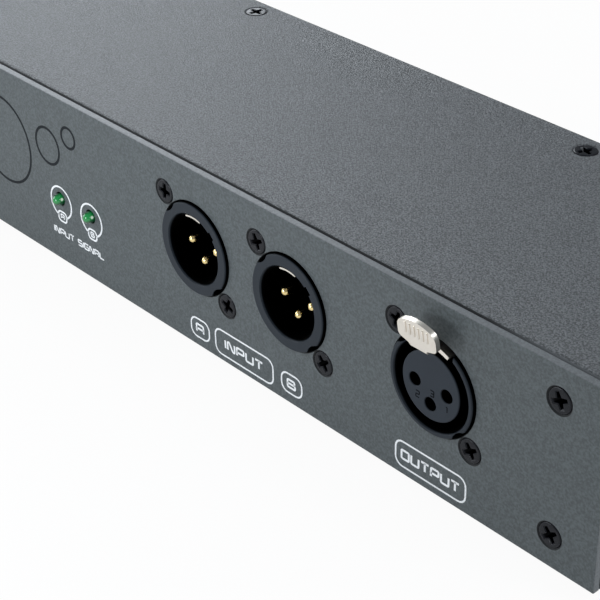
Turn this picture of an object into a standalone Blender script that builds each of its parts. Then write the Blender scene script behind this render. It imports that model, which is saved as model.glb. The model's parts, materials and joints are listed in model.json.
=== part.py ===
"""A two-input signal merger in a folded steel box, modelled piece by piece.

Metres, +Z up. The front panel faces -Y and the box stands on its feet at z = 0, with the origin
at the middle of the space that the whole object takes. Two pin connectors take the signals in,
a socket connector with a push latch sends the joined signal out, and two lamps show what arrives.
"""

import math

import bmesh
import bpy
from mathutils import Matrix, Vector

# Box: overall sizes
BOX_WIDTH = 0.242
BOX_HEIGHT = 0.0468
BOX_DEPTH = 0.0748
FOOT_HEIGHT = 0.0035
FIT = 0.0003

# Sheet metal
PANEL_THICKNESS = 0.0018
SHEET = 0.0012
BEND_RADIUS = 0.0018
LIP_HEIGHT = 0.0036
EAR_WIDTH = 0.018
TRAY_LIP_HEIGHT = 0.005
REAR_FLANGE_DEPTH = 0.0115

# Connectors: places on the panel
INPUT_A_X = 0.0025
INPUT_B_X = 0.0345
OUTPUT_X = 0.0775
CONNECTOR_HEIGHT = 0.0267
SCREW_OFFSET_X = 0.0105
SCREW_OFFSET_Z = 0.0107

# Connectors: housings
RING_RADIUS = 0.0114
RING_PROUD = 0.00085
RING_EDGE = 0.0003
RING_NOTCH_RADIUS = 0.00445
FLANGE_HALF = 0.0142
FLANGE_THICKNESS = 0.0028
HOUSING_HALF = 0.0130
HOUSING_DEPTH = 0.0230
PIN_SPREAD = 0.0044
PIN_PAIR_Z = -0.00024
PIN_LOW_Z = -0.00427
TAIL_THICKNESS = 0.0008
TAIL_DEPTH = 0.0247

# Inputs
INPUT_MOUTH_RADIUS = 0.00883
INPUT_BORE_RADIUS = 0.00815
INPUT_CHAMFER_DEPTH = 0.0010
INPUT_FLOOR = 0.0132
INSERT_THICKNESS = 0.0088
PIN_RADIUS = 0.0012
PIN_TIP_DEPTH = 0.0018
KEYWAY_ANGLE = math.radians(47.5)
KEYWAY_WIDTH = 0.0021
KEYWAY_REACH = 0.0095
GROUND_INNER_RADIUS = 0.0080
GROUND_THICKNESS = 0.0004
GROUND_LENGTH = 0.0120
GROUND_HALF_ANGLE = math.radians(18)

# Output
OUTPUT_MOUTH_RADIUS = 0.0104
OUTPUT_BORE_RADIUS = 0.00975
OUTPUT_CHAMFER_DEPTH = 0.0012
INSERT_RADIUS = 0.00795
INSERT_PROUD = 0.0007
INSERT_FLOOR = 0.0130
INSERT_END = 0.0200
SOCKET_MOUTH_RADIUS = 0.00155
SOCKET_MOUTH_DEPTH = 0.0006
SOCKET_RADIUS = 0.0017
SOCKET_BORE_RADIUS = 0.00125
SOCKET_BORE_DEPTH = 0.0125

# Latch lever
LEVER_INNER_RADIUS = 0.0096
LEVER_THICKNESS = 0.0009
LEVER_HALF_ANGLE = math.radians(27.5)
LEVER_BAND_LENGTH = 0.0105
LEVER_ARM_HALF = 0.0030
LEVER_PIVOT_DEPTH = 0.0150
LEVER_PIVOT_Z = 0.0111
LEVER_BARREL_RADIUS = 0.0013
LEVER_BARREL_HALF = 0.0052
LATCH_PIN_RADIUS = 0.0006
LATCH_PIN_HALF = 0.0080
SLOT_HALF = 0.0059
SLOT_ROOF_Z = 0.0127
SLOT_DEPTH = 0.0175
TOOTH_DEPTH = 0.0050
TOOTH_LENGTH = 0.0012
TOOTH_HALF = 0.0016
TOOTH_REACH_Z = 0.0088
TAB_NECK_HALF = 0.0024
TAB_HALF_WIDTH = 0.0052
TAB_BOTTOM_Z = 0.01045
TAB_WAIST_Z = 0.0113
TAB_SHOULDER_Z = 0.0122
TAB_CORNER_Z = 0.0163
TAB_TOP_Z = 0.0179
TAB_CORNER_RADIUS = 0.0024
TAB_THICKNESS = 0.0011
TAB_TILT = math.radians(9.0)
TAB_STAND = 0.0039
SPRING_DEPTH = 0.0075
SPRING_RADIUS = 0.0013
SPRING_WIRE_RADIUS = 0.0002
SPRING_TURNS = 5
SPRING_POCKET_Z = 0.0164
SPRING_TOWER_HALF = 0.0030

# Lamps
LAMP_A_X = -0.0518
LAMP_B_X = -0.0391
LAMP_HEIGHT = 0.0183
LAMP_RADIUS = 0.0015
LAMP_PROUD = 0.0022
LAMP_RIM_RADIUS = 0.0019
LAMP_RIM_THICKNESS = 0.0010
LAMP_LEAD_SPREAD = 0.0013
LAMP_LEAD_WIDTH = 0.0005
LAMP_HOLDER_HALF = 0.0022
LAMP_HOLDER_DEPTH = 0.0050

# Screws: one family of machine screws
SCREW_RADIUS = 0.00135
SCREW_HEAD_RADIUS = 0.0029
SCREW_CLEARANCE = 0.0003
PAN_HEAD_RADIUS = 0.00275
PAN_HEAD_HEIGHT = 0.0020
RECESS_REACH = 0.0019
RECESS_WIDTH = 0.0011
RECESS_DEPTH = 0.0012
PANEL_SCREW_INSET = 0.0116
PANEL_SCREW_PITCH = 0.0317
PANEL_SCREW_LENGTH = 0.0070
CONNECTOR_SCREW_LENGTH = 0.0095
COVER_SCREW_X = 0.0565
COVER_SCREW_INSET = 0.0050
COVER_SCREW_LENGTH = 0.0060
BOARD_SCREW_LENGTH = 0.0060
SINK_SCREW_LENGTH = 0.0050

# Feet
FOOT_X = 0.100
FOOT_INSET = 0.014
FOOT_RADIUS = 0.0063
FOOT_TAPER = 0.0008

# Board and what stands on it
BOARD_DROP = 0.0132
BOARD_THICKNESS = 0.0016
BOARD_LEFT = -0.064
BOARD_RIGHT = 0.0975
BOARD_REAR_GAP = 0.0014
BOSS_RADIUS = 0.0030
BOSS_INSET = 0.0035
BOSS_FRONT_INSET = 0.0048
BOSS_REAR_INSET = 0.0052
CHIP_HALF_WIDTH = 0.0032
CHIP_LOW = 0.0008
CHIP_HIGH = 0.0042
CHIP_ROW = 0.0038
CHIP_PITCH = 0.00254
CHIP_LEG = 0.0005
SMALL_CHIP_LEGS = 4
LARGE_CHIP_LEGS = 9
DRIVER_DEPTH = 0.0350
CONTROLLER_PLACE = (0.052, 0.0540)
REGULATOR_PLACE = (-0.030, 0.0380)
REGULATOR_HALF_WIDTH = 0.0050
REGULATOR_THICKNESS = 0.0045
REGULATOR_TAB = 0.0013
SINK_HALF_WIDTH = 0.0075
SINK_HEIGHT = 0.0190
SINK_WEB = 0.0018
SINK_FIN = 0.0012
SINK_REACH = 0.0090
SINK_FINS = 5
CAPACITOR_PLACE = (-0.050, 0.0440)
CAPACITOR_RADIUS = 0.0050
CAPACITOR_HEIGHT = 0.0120

# Rear wall: power inlet and switch
INLET_X = -0.0490
INLET_RISE = 0.0065
INLET_HALF_WIDTH = 0.0045
INLET_BODY_HEIGHT = 0.0110
INLET_BODY_DEPTH = 0.0130
INLET_BUSH_RADIUS = 0.0041
INLET_BUSH_PROUD = 0.0010
INLET_CAVITY_RADIUS = 0.0031
INLET_CAVITY_DEPTH = 0.0095
INLET_PIN_RADIUS = 0.00105
SWITCH_X = -0.0290
SWITCH_RISE = 0.0074
SWITCH_HALF_WIDTH = 0.0042
SWITCH_HALF_HEIGHT = 0.0068
SWITCH_BODY_DEPTH = 0.0120
SWITCH_BEZEL = 0.0010
SWITCH_BEZEL_THICKNESS = 0.0018
WELL_MARGIN_X = 0.0012
WELL_MARGIN_Z = 0.0008
WELL_DEPTH = 0.0062
ROCKER_END_GAP = 0.0008
ROCKER_PIVOT_INSET = 0.0010
ROCKER_END_RISE = 0.0026
ROCKER_VALLEY_RISE = 0.0016
ROCKER_KEEL = 0.0030
ROCKER_ANGLE = math.radians(9.0)

# How far a cutter runs past the face that it cuts, and how deep joined shapes overlap
PAST = 0.001
OVERLAP = 0.0005

# Facets round a full circle
FINE = 36
ROUND = 16
SMALL = 12


# Outlines


def rounded_outline(corners, steps=4):
    """Points of a closed outline whose corners, given as x, y and radius, are rounded by arcs."""
    points = []
    for index, (x, y, radius) in enumerate(corners):
        corner = Vector((x, y))
        if radius == 0.0:
            points.append(corner)
            continue
        back = (Vector(corners[index - 1][:2]) - corner).normalized()
        ahead = (Vector(corners[(index + 1) % len(corners)][:2]) - corner).normalized()
        half = back.angle(ahead) / 2
        centre = corner + (back + ahead).normalized() * (radius / math.sin(half))
        first = corner + back * (radius / math.tan(half)) - centre
        last = corner + ahead * (radius / math.tan(half)) - centre
        points += [centre + radius * first.slerp(last, step / steps) for step in range(steps + 1)]
    return points


def arc_band(inner, outer, half_angle, steps=8):
    """The outline of a band that follows a circle, centred above the circle's middle."""
    angles = [half_angle * (2 * step / steps - 1) for step in range(steps + 1)]
    far = [(outer * math.sin(angle), outer * math.cos(angle)) for angle in reversed(angles)]
    near = [(inner * math.sin(angle), inner * math.cos(angle)) for angle in angles]
    return far + near


def tab_outline():
    """The push tab's outline above its foot: a waist below, shoulders, and an arched top."""
    right = (
        (TAB_NECK_HALF, 0.0, 0.0),
        (TAB_NECK_HALF, TAB_WAIST_Z - TAB_BOTTOM_Z, 0.0003),
        (TAB_HALF_WIDTH, TAB_SHOULDER_Z - TAB_BOTTOM_Z, 0.0012),
        (TAB_HALF_WIDTH, TAB_CORNER_Z - TAB_BOTTOM_Z, TAB_CORNER_RADIUS),
    )
    left = tuple((-x, z, radius) for x, z, radius in reversed(right))
    return rounded_outline((*right, (0.0, TAB_TOP_Z - TAB_BOTTOM_Z, 0.0090), *left))


def rocker_outline():
    """The rocker seen from its side, as depth behind the rear wall and height, about its pivot."""
    rise = ROCKER_PIVOT_INSET + ROCKER_END_RISE
    end = SWITCH_HALF_HEIGHT - WELL_MARGIN_Z - ROCKER_END_GAP
    corners = (
        (rise, end, 0.0005),
        (0.0, end, 0.0),
        (-ROCKER_KEEL, 0.0, 0.0008),
        (0.0, -end, 0.0),
        (rise, -end, 0.0005),
        (ROCKER_PIVOT_INSET + ROCKER_VALLEY_RISE, 0.0, 0.0),
    )
    return rounded_outline(corners, steps=3)


def cross_outline():
    """A cross whose four arms narrow a little towards their ends."""
    middle, tip = RECESS_WIDTH / 2, RECESS_WIDTH * 0.4
    arm = ((RECESS_REACH, -tip), (RECESS_REACH, tip), (middle, middle))
    turns = [Matrix.Rotation(math.radians(90 * quarter), 2) for quarter in range(4)]
    return [spin @ Vector(point) for spin in turns for point in arm]


# Places worked out from the sizes above
TAB_REACH = TAB_STAND + (
    max(point.y for point in tab_outline()) * math.sin(TAB_TILT) + TAB_THICKNESS / 2 * math.cos(TAB_TILT)
)
REAR_REACH = -ROCKER_PIVOT_INSET + max(
    point.x * math.cos(ROCKER_ANGLE) + point.y * math.sin(ROCKER_ANGLE) for point in rocker_outline()
)
PANEL_FACE_Y = TAB_REACH - (TAB_REACH + BOX_DEPTH + REAR_REACH) / 2
BASE_Z = FOOT_HEIGHT
TOP_Z = BASE_Z + BOX_HEIGHT
AXIS_Z = BASE_Z + CONNECTOR_HEIGHT
LAMP_Z = BASE_Z + LAMP_HEIGHT
PANEL_HOLE_RADIUS = RING_RADIUS + FIT
BOARD_TOP_Z = AXIS_Z - BOARD_DROP
BOARD_BOTTOM_Z = BOARD_TOP_Z - BOARD_THICKNESS
SEAT_Z = BOARD_TOP_Z + FIT
FLOOR_Z = BASE_Z + SHEET
TRAY_HALF = BOX_WIDTH / 2 - SHEET - FIT
TRAY_TOP_Z = TOP_Z - SHEET - FIT
BEHIND_PANEL = PANEL_THICKNESS + FIT
REAR_WALL = BOX_DEPTH - SHEET
FLANGE_BACK = BEHIND_PANEL + FLANGE_THICKNESS
BOARD_FRONT = FLANGE_BACK + FIT
BOARD_BACK = REAR_WALL - BOARD_REAR_GAP
BOSS_FRONT = BOARD_FRONT + BOSS_FRONT_INSET
BOSS_BACK = BOARD_BACK - BOSS_REAR_INSET
INSERT_BACK = INPUT_FLOOR + INSERT_THICKNESS
HOLE_RADIUS = SCREW_RADIUS + SCREW_CLEARANCE
SINK_MOUTH_RADIUS = SCREW_HEAD_RADIUS + SCREW_CLEARANCE
CONE_DEPTH = SINK_MOUTH_RADIUS - HOLE_RADIUS
COVER_SCREW_DEPTH = BOX_DEPTH - COVER_SCREW_INSET
LEVER_OUTER_RADIUS = LEVER_INNER_RADIUS + LEVER_THICKNESS
CONTACT_SPOTS = ((-PIN_SPREAD, PIN_PAIR_Z), (PIN_SPREAD, PIN_PAIR_Z), (0.0, PIN_LOW_Z))
TAIL_HOLE_RADIUS = TAIL_THICKNESS / math.sqrt(2) + FIT
LAMP_HOLDER_FRONT = BEHIND_PANEL + LAMP_RIM_THICKNESS + FIT
LAMP_HOLDER_BACK = LAMP_HOLDER_FRONT + LAMP_HOLDER_DEPTH
LAMP_LEAD_DEPTH = LAMP_HOLDER_BACK + 2 * FIT + LAMP_LEAD_WIDTH / 2
LAMP_LEAD_HOLE_RADIUS = LAMP_LEAD_WIDTH / math.sqrt(2) + FIT
INLET_Z = SEAT_Z + INLET_RISE
SWITCH_Z = SEAT_Z + SWITCH_RISE

CONNECTORS = {"input_a": INPUT_A_X, "input_b": INPUT_B_X, "output": OUTPUT_X}
LAMPS = {"lamp_a": LAMP_A_X, "lamp_b": LAMP_B_X}
SIDES = {"left": -1, "right": 1}
PANEL_SCREWS = {
    f"panel_screw_{side}_{level}": (
        sign * (BOX_WIDTH / 2 - PANEL_SCREW_INSET),
        BASE_Z + (BOX_HEIGHT + up * PANEL_SCREW_PITCH) / 2,
    )
    for side, sign in SIDES.items()
    for level, up in (("low", -1), ("high", 1))
}
CONNECTOR_SCREWS = {
    f"{name}_screw_{side}": (x + sign * SCREW_OFFSET_X, AXIS_Z - sign * SCREW_OFFSET_Z)
    for name, x in CONNECTORS.items()
    for side, sign in SIDES.items()
}
COVER_SCREWS = {
    f"cover_screw_{side}": (sign * COVER_SCREW_X, COVER_SCREW_DEPTH) for side, sign in SIDES.items()
}
BOARD_SCREWS = {
    f"board_screw_{end}_{side}": (x, depth)
    for end, depth in (("front", BOSS_FRONT), ("rear", BOSS_BACK))
    for side, x in (("left", BOARD_LEFT + BOSS_INSET), ("right", BOARD_RIGHT - BOSS_INSET))
}
FEET = {
    f"rubber_foot_{end}_{side}": (sign * FOOT_X, depth)
    for end, depth in (("front", FOOT_INSET), ("rear", BOX_DEPTH - FOOT_INSET))
    for side, sign in SIDES.items()
}


def behind(depth):
    """World y of a place that lies depth behind the front panel's outer face."""
    return PANEL_FACE_Y + depth


# Scene and materials


def clear_scene():
    for obj in list(bpy.data.objects):
        bpy.data.objects.remove(obj, do_unlink=True)


def new_collection(name):
    collection = bpy.data.collections.new(name)
    bpy.context.scene.collection.children.link(collection)
    return collection


def material(name, colour, roughness, metallic=0.0):
    """A plain surface: colour, roughness and how far it is metal."""
    made = bpy.data.materials.get(name)
    if made is None:
        made = bpy.data.materials.new(name)
        made.use_nodes = True
        shader = made.node_tree.nodes["Principled BSDF"]
        shader.inputs["Base Color"].default_value = (*colour, 1.0)
        shader.inputs["Roughness"].default_value = roughness
        shader.inputs["Metallic"].default_value = metallic
    return made


def grey_paint():
    return material("grey_paint", (0.105, 0.125, 0.130), 0.55)


def black_steel():
    return material("black_steel", (0.015, 0.015, 0.016), 0.35, 0.6)


def black_anodised():
    return material("black_anodised", (0.020, 0.020, 0.022), 0.4, 0.8)


def zinc():
    return material("zinc", (0.62, 0.62, 0.60), 0.35, 1.0)


def nickel():
    return material("nickel", (0.80, 0.78, 0.74), 0.25, 1.0)


def gold():
    return material("gold", (0.90, 0.66, 0.28), 0.25, 1.0)


def housing_plastic():
    return material("housing_plastic", (0.030, 0.031, 0.036), 0.45)


def insert_plastic():
    return material("insert_plastic", (0.060, 0.064, 0.072), 0.5)


def black_plastic():
    return material("black_plastic", (0.018, 0.018, 0.018), 0.5)


def lamp_green():
    return material("lamp_green", (0.010, 0.140, 0.045), 0.15)


def board_green():
    return material("board_green", (0.020, 0.130, 0.050), 0.4)


def capacitor_blue():
    return material("capacitor_blue", (0.020, 0.030, 0.070), 0.4)


def rubber():
    return material("rubber", (0.020, 0.020, 0.020), 0.85)


# Shapes


def box_place(low, high):
    """The matrix that turns a unit cube into the box between two corners."""
    low, high = Vector(low), Vector(high)
    return Matrix.Translation((low + high) / 2) @ Matrix.Diagonal((*(high - low), 1.0))


class Shape:
    """Closed primitives gathered in one mesh."""

    def __init__(self):
        self.bm = bmesh.new()

    def box(self, low, high):
        """A box between two corners."""
        bmesh.ops.create_cube(self.bm, size=1.0, matrix=box_place(low, high))
        return self

    def rod(self, start, end, radius, segments=ROUND, end_radius=None):
        """A cylinder from start to end, or a cone where its end radius differs."""
        start, end = Vector(start), Vector(end)
        run = end - start
        bmesh.ops.create_cone(
            self.bm,
            cap_ends=True,
            segments=segments,
            radius1=radius,
            radius2=radius if end_radius is None else end_radius,
            depth=run.length,
            matrix=Matrix.Translation((start + end) / 2) @ run.to_track_quat("Z", "Y").to_matrix().to_4x4(),
        )
        return self

    def add(self, mesh):
        """A finished mesh as it lies."""
        self.bm.from_mesh(mesh)
        return self

    def mesh(self, name):
        made = bpy.data.meshes.new(name)
        self.bm.to_mesh(made)
        self.bm.free()
        return made


def piece(name, mesh, finish, smooth=True):
    """A named piece of the object."""
    obj = bpy.data.objects.new(name, mesh)
    PARTS.objects.link(obj)
    mesh.materials.clear()
    mesh.materials.append(finish)
    if smooth:
        mesh.shade_smooth()
        mesh.set_sharp_from_angle(angle=math.radians(35))
    return obj


def tool(name, shape):
    """A helper that cuts or joins and isn't part of the object."""
    mesh = shape.mesh(name) if isinstance(shape, Shape) else shape
    obj = bpy.data.objects.new(name, mesh)
    CUTTERS.objects.link(obj)
    obj.hide_render = True
    obj.display_type = "WIRE"
    return obj


def boolean(target, helper, operation):
    step = target.modifiers.new(helper.name, "BOOLEAN")
    step.operation = operation
    step.object = helper
    step.solver = "EXACT"


def cut(target, *helpers):
    for helper in helpers:
        boolean(target, helper, "DIFFERENCE")


def join(target, *helpers):
    for helper in helpers:
        boolean(target, helper, "UNION")


def turned_profile(mesh_name, profile):
    """The outline of a turned shape, as radius and depth from its front end, for a Screw modifier."""
    bm = bmesh.new()
    points = [bm.verts.new((radius, 0.0, -depth)) for radius, depth in profile]
    for first, second in zip(points, points[1:]):
        bm.edges.new((first, second))
    made = bpy.data.meshes.new(mesh_name)
    bm.to_mesh(made)
    bm.free()
    return made


def turn(obj, segments):
    """Sweeps an outline round its own z axis."""
    sweep = obj.modifiers.new("Turn", "SCREW")
    sweep.steps = segments
    sweep.render_steps = segments
    sweep.use_merge_vertices = True
    sweep.merge_threshold = 0.00001
    sweep.use_smooth_shade = True
    return obj


def aim_forward(obj, x, z):
    """Turns an object's own z axis to the front, through a place on the panel's face."""
    obj.location = (x, behind(0.0), z)
    obj.rotation_euler = (math.radians(90), 0.0, 0.0)
    return obj


def turned_piece(name, x, z, profile, finish, segments=FINE):
    obj = turn(piece(name, turned_profile(name, profile), finish, smooth=False), segments)
    return aim_forward(obj, x, z)


def turned_tool(name, x, z, profile, segments=FINE):
    return aim_forward(turn(tool(name, turned_profile(name, profile)), segments), x, z)


def plate(name, outline, thickness, place):
    """A flat outline given a thickness either side of its plane, which a matrix places."""
    curve = bpy.data.curves.new(name, "CURVE")
    curve.dimensions = "2D"
    curve.fill_mode = "BOTH"
    curve.extrude = thickness / 2
    spline = curve.splines.new("POLY")
    spline.points.add(len(outline) - 1)
    for knot, (x, y) in zip(spline.points, outline):
        knot.co = (x, y, 0.0, 1.0)
    spline.use_cyclic_u = True
    guide = bpy.data.objects.new(name, curve)
    CUTTERS.objects.link(guide)
    bpy.context.view_layer.update()
    evaluated = guide.evaluated_get(bpy.context.evaluated_depsgraph_get())
    mesh = bpy.data.meshes.new_from_object(evaluated)
    bpy.data.objects.remove(guide, do_unlink=True)
    bpy.data.curves.remove(curve)
    bm = bmesh.new()
    bm.from_mesh(mesh)
    bmesh.ops.remove_doubles(bm, verts=bm.verts, dist=0.000001)
    bmesh.ops.transform(bm, matrix=place, verts=bm.verts)
    bmesh.ops.recalc_face_normals(bm, faces=bm.faces)
    bm.to_mesh(mesh)
    bm.free()
    return mesh


def facing_front(x, depth, z):
    """Stands an outline drawn in x and y upright, facing the front."""
    return Matrix.Translation((x, behind(depth), z)) @ Matrix.Rotation(math.radians(90), 4, "X")


def facing_side(x, y, z):
    """Stands an outline drawn in depth and height upright, facing sideways."""
    return Matrix(((0, 0, 1, x), (1, 0, 0, y), (0, 1, 0, z), (0, 0, 0, 1)))


def folded_block(name, low, high, radius, folds):
    """A block whose chosen edges are rounded as bent sheet is. Two sides name each edge."""
    bm = bmesh.new()
    bmesh.ops.create_cube(bm, size=1.0, matrix=box_place(low, high))
    sides = {"left": (0, low[0]), "right": (0, high[0]), "front": (1, low[1]), "top": (2, high[2])}
    chosen = [
        edge
        for edge in bm.edges
        for fold in folds
        if all(abs(vert.co[sides[side][0]] - sides[side][1]) < 1e-6 for vert in edge.verts for side in fold)
    ]
    bmesh.ops.bevel(bm, geom=chosen, offset=radius, segments=4, profile=0.5, affect="EDGES")
    bmesh.ops.triangulate(bm, faces=bm.faces)
    mesh = bpy.data.meshes.new(name)
    bm.to_mesh(mesh)
    bm.free()
    return mesh


# Screws


def screw(name, profile, recess, finish):
    """A turned screw along its own z axis, its head's top at z = 0, with a cross recess."""
    obj = turn(piece(name, turned_profile(name, profile), finish, smooth=False), ROUND)
    recess_tool = tool(name + "_recess", recess)
    recess_tool.parent = obj
    cut(obj, recess_tool)
    return obj


def countersunk_profile(length):
    return (
        (0.0, 0.0),
        (SCREW_HEAD_RADIUS, 0.0),
        (SCREW_RADIUS, SCREW_HEAD_RADIUS - SCREW_RADIUS),
        (SCREW_RADIUS, length),
        (0.0, length),
    )


def pan_profile(length):
    return (
        (0.0, 0.0),
        (PAN_HEAD_RADIUS * 0.75, 0.0),
        (PAN_HEAD_RADIUS, PAN_HEAD_HEIGHT * 0.5),
        (PAN_HEAD_RADIUS, PAN_HEAD_HEIGHT),
        (SCREW_RADIUS, PAN_HEAD_HEIGHT),
        (SCREW_RADIUS, PAN_HEAD_HEIGHT + length),
        (0.0, PAN_HEAD_HEIGHT + length),
    )


def build_screws():
    recess = plate("cross_recess", cross_outline(), 2 * RECESS_DEPTH, Matrix.Identity(4))
    for names, length in ((PANEL_SCREWS, PANEL_SCREW_LENGTH), (CONNECTOR_SCREWS, CONNECTOR_SCREW_LENGTH)):
        for name, (x, z) in names.items():
            aim_forward(screw(name, countersunk_profile(length), recess, black_steel()), x, z)
    for name, (x, depth) in COVER_SCREWS.items():
        made = screw(name, countersunk_profile(COVER_SCREW_LENGTH), recess, black_steel())
        made.location = (x, behind(depth), TOP_Z)
    for name, (x, depth) in BOARD_SCREWS.items():
        made = screw(name, pan_profile(BOARD_SCREW_LENGTH), recess, zinc())
        made.location = (x, behind(depth), SEAT_Z + PAN_HEAD_HEIGHT)


# Enclosure


def build_front_panel():
    half = BOX_WIDTH / 2
    body = Shape().box((-half, behind(0), BASE_Z), (half, behind(PANEL_THICKNESS), TOP_Z))
    panel = piece("front_panel", body.mesh("front_panel"), grey_paint(), smooth=False)
    holes, cones, shanks = Shape(), Shape(), Shape()
    back = behind(PANEL_THICKNESS + PAST)
    for x in CONNECTORS.values():
        holes.rod((x, behind(-PAST), AXIS_Z), (x, back, AXIS_Z), PANEL_HOLE_RADIUS, FINE)
    for x in LAMPS.values():
        holes.rod((x, behind(-PAST), LAMP_Z), (x, back, LAMP_Z), LAMP_RADIUS + FIT)
    for x, z in (*PANEL_SCREWS.values(), *CONNECTOR_SCREWS.values()):
        mouth = SINK_MOUTH_RADIUS + PAST
        cones.rod((x, behind(-PAST), z), (x, behind(CONE_DEPTH), z), mouth, ROUND, HOLE_RADIUS)
        shanks.rod((x, behind(CONE_DEPTH / 2), z), (x, back, z), HOLE_RADIUS)
    cut(panel, tool("panel_holes", holes), tool("panel_cones", cones), tool("panel_shanks", shanks))


def build_chassis_tray():
    front, wall, back = behind(BEHIND_PANEL), behind(REAR_WALL), behind(BOX_DEPTH)
    half, inner, far = TRAY_HALF, TRAY_HALF - SHEET, 0.010
    outer = Shape().box((-half, front, BASE_Z), (half, back, TRAY_TOP_Z))
    tray = piece("chassis_tray", outer.mesh("chassis_tray"), grey_paint(), smooth=False)
    room = Shape().box((-inner, front + SHEET, FLOOR_Z), (inner, wall, TRAY_TOP_Z - SHEET))
    roof = Shape().box(
        (-inner, front + SHEET, TRAY_TOP_Z - SHEET - far),
        (inner, wall - REAR_FLANGE_DEPTH, TRAY_TOP_Z + far),
    )
    window = Shape().box(
        (-half + EAR_WIDTH, front - far, BASE_Z + TRAY_LIP_HEIGHT),
        (half - EAR_WIDTH, front + SHEET + PAST, TRAY_TOP_Z + far),
    )
    lip_room = Shape().box(
        (-half - far, front - far, TOP_Z - LIP_HEIGHT - FIT),
        (half + far, front + SHEET + FIT, TRAY_TOP_Z + far),
    )
    bosses, holes = Shape(), Shape()
    for x, depth in BOARD_SCREWS.values():
        y = behind(depth)
        bosses.rod((x, y, FLOOR_Z - OVERLAP), (x, y, BOARD_BOTTOM_Z - FIT), BOSS_RADIUS)
        holes.rod((x, y, BASE_Z - far), (x, y, BOARD_BOTTOM_Z + PAST), HOLE_RADIUS, SMALL)
    for x, z in PANEL_SCREWS.values():
        holes.rod((x, front - PAST, z), (x, front + SHEET + PAST, z), HOLE_RADIUS, SMALL)
    for x, depth in COVER_SCREWS.values():
        y = behind(depth)
        holes.rod((x, y, TRAY_TOP_Z + PAST), (x, y, TRAY_TOP_Z - SHEET - PAST), HOLE_RADIUS, SMALL)
    radius = INLET_BUSH_RADIUS + FIT
    holes.rod((INLET_X, wall - PAST, INLET_Z), (INLET_X, back + PAST, INLET_Z), radius)
    across, up = SWITCH_HALF_WIDTH + FIT, SWITCH_HALF_HEIGHT + FIT
    holes.box(
        (SWITCH_X - across, wall - PAST, SWITCH_Z - up), (SWITCH_X + across, back + PAST, SWITCH_Z + up)
    )
    cut(
        tray,
        tool("tray_room", room),
        tool("tray_roof", roof),
        tool("tray_window", window),
        tool("tray_lip_room", lip_room),
    )
    join(tray, tool("tray_bosses", bosses))
    cut(tray, tool("tray_holes", holes))


def build_top_cover():
    half, far = BOX_WIDTH / 2, 0.010
    front, back = behind(BEHIND_PANEL), behind(BOX_DEPTH)
    folds = (("top", "front"), ("top", "left"), ("top", "right"))
    outer = folded_block("top_cover", (-half, front, BASE_Z), (half, back, TOP_Z), BEND_RADIUS, folds)
    cover = piece("top_cover", outer, grey_paint())
    inner = folded_block(
        "cover_inside",
        (-half + SHEET, front + SHEET, BASE_Z - far),
        (half - SHEET, back + far, TOP_Z - SHEET),
        BEND_RADIUS - SHEET,
        folds,
    )
    window = Shape().box(
        (-half + SHEET, front - far, BASE_Z - far), (half - SHEET, front + far, TOP_Z - LIP_HEIGHT)
    )
    cones, shanks = Shape(), Shape()
    for x, depth in COVER_SCREWS.values():
        y, mouth = behind(depth), SINK_MOUTH_RADIUS + PAST
        cones.rod((x, y, TOP_Z + PAST), (x, y, TOP_Z - CONE_DEPTH), mouth, ROUND, HOLE_RADIUS)
        shanks.rod((x, y, TOP_Z - CONE_DEPTH / 2), (x, y, TOP_Z - SHEET - PAST), HOLE_RADIUS)
    cut(
        cover,
        tool("cover_inside", inner),
        tool("cover_window", window),
        tool("cover_cones", cones),
        tool("cover_shanks", shanks),
    )


def build_feet():
    height = FOOT_HEIGHT - FIT
    profile = (
        (0.0, 0.0),
        (FOOT_RADIUS, 0.0),
        (FOOT_RADIUS, height / 2),
        (FOOT_RADIUS - FOOT_TAPER, height),
        (0.0, height),
    )
    for name, (x, depth) in FEET.items():
        foot = turn(piece(name, turned_profile(name, profile), rubber(), smooth=False), ROUND)
        foot.location = (x, behind(depth), height)


# Connectors


def build_housing(name, x):
    """The part of a housing that inputs and output share: flange, block, ring and screw holes."""
    flange = Shape().box(
        (x - FLANGE_HALF, behind(BEHIND_PANEL), AXIS_Z - FLANGE_HALF),
        (x + FLANGE_HALF, behind(FLANGE_BACK), AXIS_Z + FLANGE_HALF),
    )
    housing = piece(name, flange.mesh(name), housing_plastic())
    block = Shape().box(
        (x - HOUSING_HALF, behind(FLANGE_BACK - OVERLAP), SEAT_Z),
        (x + HOUSING_HALF, behind(HOUSING_DEPTH), AXIS_Z + HOUSING_HALF),
    )
    profile = (
        (0.0, -RING_PROUD),
        (RING_RADIUS - RING_EDGE, -RING_PROUD),
        (RING_RADIUS, -RING_PROUD + RING_EDGE),
        (RING_RADIUS, BEHIND_PANEL + OVERLAP),
        (0.0, BEHIND_PANEL + OVERLAP),
    )
    join(housing, tool(name + "_block", block), turned_tool(name + "_ring", x, AXIS_Z, profile))
    notches, holes = Shape(), Shape()
    for sign in SIDES.values():
        spot_x, spot_z = x + sign * SCREW_OFFSET_X, AXIS_Z - sign * SCREW_OFFSET_Z
        notches.rod(
            (spot_x, behind(-RING_PROUD - PAST), spot_z),
            (spot_x, behind(PANEL_THICKNESS), spot_z),
            RING_NOTCH_RADIUS,
            FINE,
        )
        holes.rod(
            (spot_x, behind(PANEL_THICKNESS), spot_z),
            (spot_x, behind(CONNECTOR_SCREW_LENGTH + FIT), spot_z),
            HOLE_RADIUS,
            SMALL,
        )
    cut(housing, tool(name + "_notches", notches), tool(name + "_screw_holes", holes))
    return housing


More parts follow.
